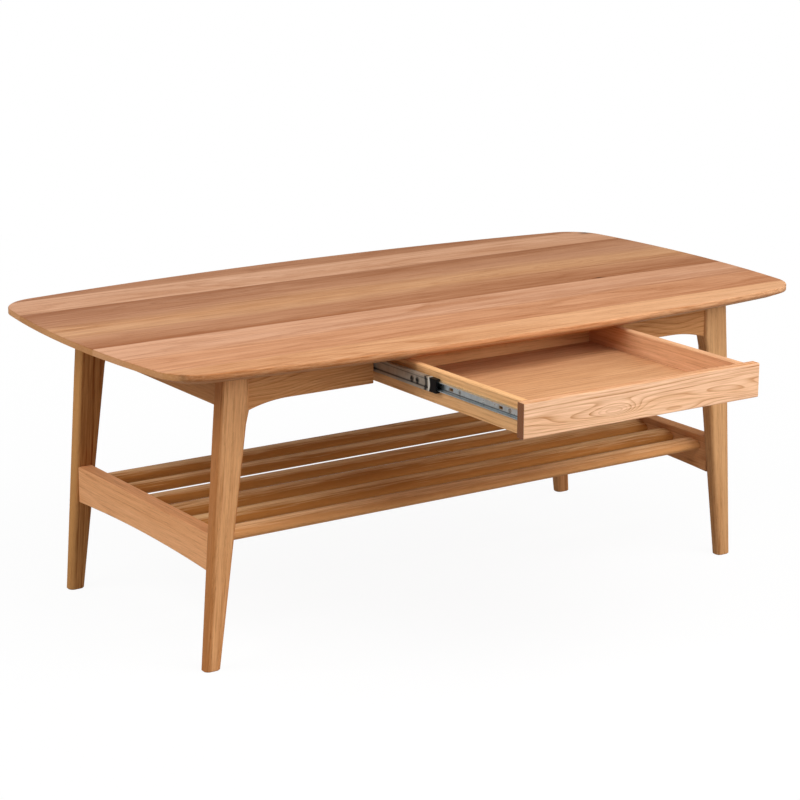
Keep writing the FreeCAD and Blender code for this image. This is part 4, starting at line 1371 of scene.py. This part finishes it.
@dataclass
class TopFixings:
    """The angle brackets under the top and the screws through them. Lengths are in metres."""

    thickness: float = 0.002
    bite: float = 0.010
    top_hole: float = 0.010
    apron_hole: float = 0.009
    long_x: float = 0.3215
    end_y: float = 0.0887
    bracket: ZincFinish = ZincFinish("b4b7b4", "83847f", Axis.LENGTH, 0.40)
    screw: ZincFinish = SCREW_ZINC

    def build(self, frame: dict[str, Any]) -> None:
        """Dress the brackets and drive their screws.

        Args:
            frame: The loaded frame.
        """
        dress(frame, "top_brackets", self.bracket.material("zinc_bracket"))
        screws = Screws(self.screw.material("zinc_bracket_screw"), shank_length=self.thickness + self.bite)
        piece = screws.build("top_bracket_screws_slotted", self._spots())
        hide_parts("top_bracket_screws")
        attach(piece, "table")

    def _spots(self) -> list[Spot]:
        """Place and direction of the two screws in each bracket.

        Returns:
            A spot for each screw.
        """
        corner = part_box("front_left_apron")[1]
        end_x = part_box("right_end_apron")[0].x
        spots = []
        for side in Side:
            for depth in (-1, 1):
                long_foot = Vector((side.value * self.long_x, -depth * corner.y, corner.z))
                end_foot = Vector((side.value * end_x, depth * self.end_y, corner.z))
                spots += self._pair(long_foot, Vector((0.0, -depth, 0.0)))
                spots += self._pair(end_foot, Vector((-side.value, 0.0, 0.0)))
        return spots

    def _pair(self, foot: Vector, away: Vector) -> list[Spot]:
        """The two screws of one bracket.

        Args:
            foot: Where the bracket's two leaves meet, against the apron and the top.
            away: The way that its top leaf leads from the apron.

        Returns:
            The screw into the top and the screw into the apron.
        """
        up = Vector((0.0, 0.0, 1.0))
        return [(foot + away * self.top_hole - up * self.thickness, up),
                (foot + away * self.thickness - up * self.apron_hole, -away)]


@dataclass(frozen=True)
class Softbox:
    """A soft lamp: where it hangs, what it points at, its width and height in metres and its power in watts."""

    place: tuple[float, float, float]
    aim: tuple[float, float, float]
    size: tuple[float, float]
    power: float


@dataclass
class Studio:
    """A white floor under soft light, and the camera at the photograph's view."""

    lens_pixels: float = 2382.17
    picture_pixels: float = 800.0
    sensor: float = 36.0
    yaw: float = math.radians(34.277)
    pitch: float = math.radians(14.662)
    roll: float = math.radians(0.32)
    stand: Vector = field(default_factory=lambda: Vector((-2.03836, -2.97181, 1.22251)))
    ambient: float = 0.12
    floor_half: float = 12.0
    floor_paint: str = "c0c0c0"
    floor_glow: float = 0.92
    shadow_reach: float = 1.0
    softboxes: dict[str, Softbox] = field(default_factory=lambda: {
        "overhead": Softbox((0.05, -1.1, 1.85), (0.0, -0.1, 0.4), (1.5, 0.9), 20.0),
        "left": Softbox((-2.4, 0.2, 1.9), (0.0, 0.0, 0.4), (2.0, 1.6), 42.0),
        "front": Softbox((0.2, -3.2, 2.0), (0.0, 0.0, 0.3), (2.2, 1.4), 22.0),
        "front_right": Softbox((2.2, -2.6, 1.5), (0.0, 0.0, 0.3), (1.8, 1.6), 46.0),
        "right": Softbox((2.8, 0.2, 1.6), (0.0, 0.0, 0.3), (2.0, 1.6), 16.0),
        "rear": Softbox((0.0, 2.6, 1.8), (0.0, 0.0, 0.3), (2.6, 1.4), 16.0),
    })

    def build(self) -> None:
        """Set up floor, light and camera."""
        bpy.context.scene.view_settings.view_transform = "Standard"
        self._floor()
        self._world()
        for name, box in self.softboxes.items():
            self._lamp(name, box)
        self._camera()

    def _lamp(self, name: str, box: Softbox) -> None:
        """Hang one softbox.

        Args:
            name: The lamp's name.
            box: Its place, aim, size and power.
        """
        data = bpy.data.lights.new(name, "AREA")
        data.shape = "RECTANGLE"
        data.size, data.size_y = box.size
        data.energy = box.power
        lamp = bpy.data.objects.new(name, data)
        away = Vector(box.aim) - Vector(box.place)
        lamp.matrix_world = Matrix.Translation(box.place) @ away.to_track_quat("-Z", "Y").to_matrix().to_4x4()
        bpy.context.scene.collection.objects.link(lamp)
        log.info("hung %s", name)

    def _floor(self) -> None:
        """Lay a pale floor that looks white and keeps a soft shadow near the table."""
        half = self.floor_half
        mesh = bpy.data.meshes.new("floor")
        corners = [(-half, -half, 0), (half, -half, 0), (half, half, 0), (-half, half, 0)]
        mesh.from_pydata(corners, [], [(0, 1, 2, 3)])
        floor = bpy.data.objects.new("floor", mesh)
        bpy.context.scene.collection.objects.link(floor)
        graph = MaterialGraph("white_floor")
        path = graph.add("ShaderNodeLightPath")
        seen = Value(graph, path.outputs["Is Camera Ray"])
        east, north, _ = graph.place()
        near = (east * east + north * north).fall(1.0 / self.shadow_reach ** 2)
        glow = seen * (1.0 - (1.0 - self.floor_glow) * near)
        tint = graph.mix(seen, colour(self.floor_paint), WHITE)
        paint = graph.add("ShaderNodeBsdfDiffuse", sockets={"Color": tint})
        light = graph.add("ShaderNodeEmission", sockets={"Color": WHITE, "Strength": 1.0})
        both = graph.add("ShaderNodeMixShader", sockets={0: glow, 1: paint.outputs[0], 2: light.outputs[0]})
        graph.add("ShaderNodeOutputMaterial", sockets={"Surface": both.outputs[0]})
        mesh.materials.append(graph.material)
        log.info("laid floor")

    def _world(self) -> None:
        """Even ambient light, seen as plain white."""
        world = bpy.data.worlds.new("studio")
        bpy.context.scene.world = world
        world.use_nodes = True
        graph = NodeGraph(world.node_tree)
        world.node_tree.nodes.clear()
        path = graph.add("ShaderNodeLightPath")
        level = graph.add("ShaderNodeMapRange", sockets={
            "Value": path.outputs["Is Camera Ray"], "To Min": self.ambient, "To Max": 1.0})
        back = graph.add("ShaderNodeBackground", sockets={"Color": WHITE, "Strength": level.outputs[0]})
        graph.add("ShaderNodeOutputWorld", sockets={"Surface": back.outputs[0]})

    def _camera(self) -> None:
        """Stand the camera where the photograph was taken."""
        data = bpy.data.cameras.new("camera")
        data.sensor_fit = "HORIZONTAL"
        data.sensor_width = self.sensor
        data.lens = self.lens_pixels / self.picture_pixels * self.sensor
        level = Vector((math.sin(self.yaw), math.cos(self.yaw), 0.0))
        side = Vector((math.cos(self.yaw), -math.sin(self.yaw), 0.0))
        up = Vector((0.0, 0.0, 1.0))
        ahead = math.cos(self.pitch) * level - math.sin(self.pitch) * up
        above = math.cos(self.pitch) * up + math.sin(self.pitch) * level
        right = math.cos(self.roll) * side + math.sin(self.roll) * above
        top = math.cos(self.roll) * above - math.sin(self.roll) * side
        turn = Matrix((right, top, -ahead)).transposed().to_4x4()
        camera = bpy.data.objects.new("camera", data)
        camera.matrix_world = Matrix.Translation(self.stand) @ turn
        bpy.context.scene.collection.objects.link(camera)
        bpy.context.scene.camera = camera
        log.info("stood camera")


def main() -> None:
    """Load the frame, build each sub-assembly's looks and set up the studio."""
    logging.basicConfig(level=logging.INFO, format="%(message)s")
    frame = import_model()
    for assembly in (TableTop(), LegFrame(), Shelf(), Drawer(), Slides(), TopFixings()):
        assembly.build(frame)
    Studio().build()


if __name__ == "__main__":
    main()
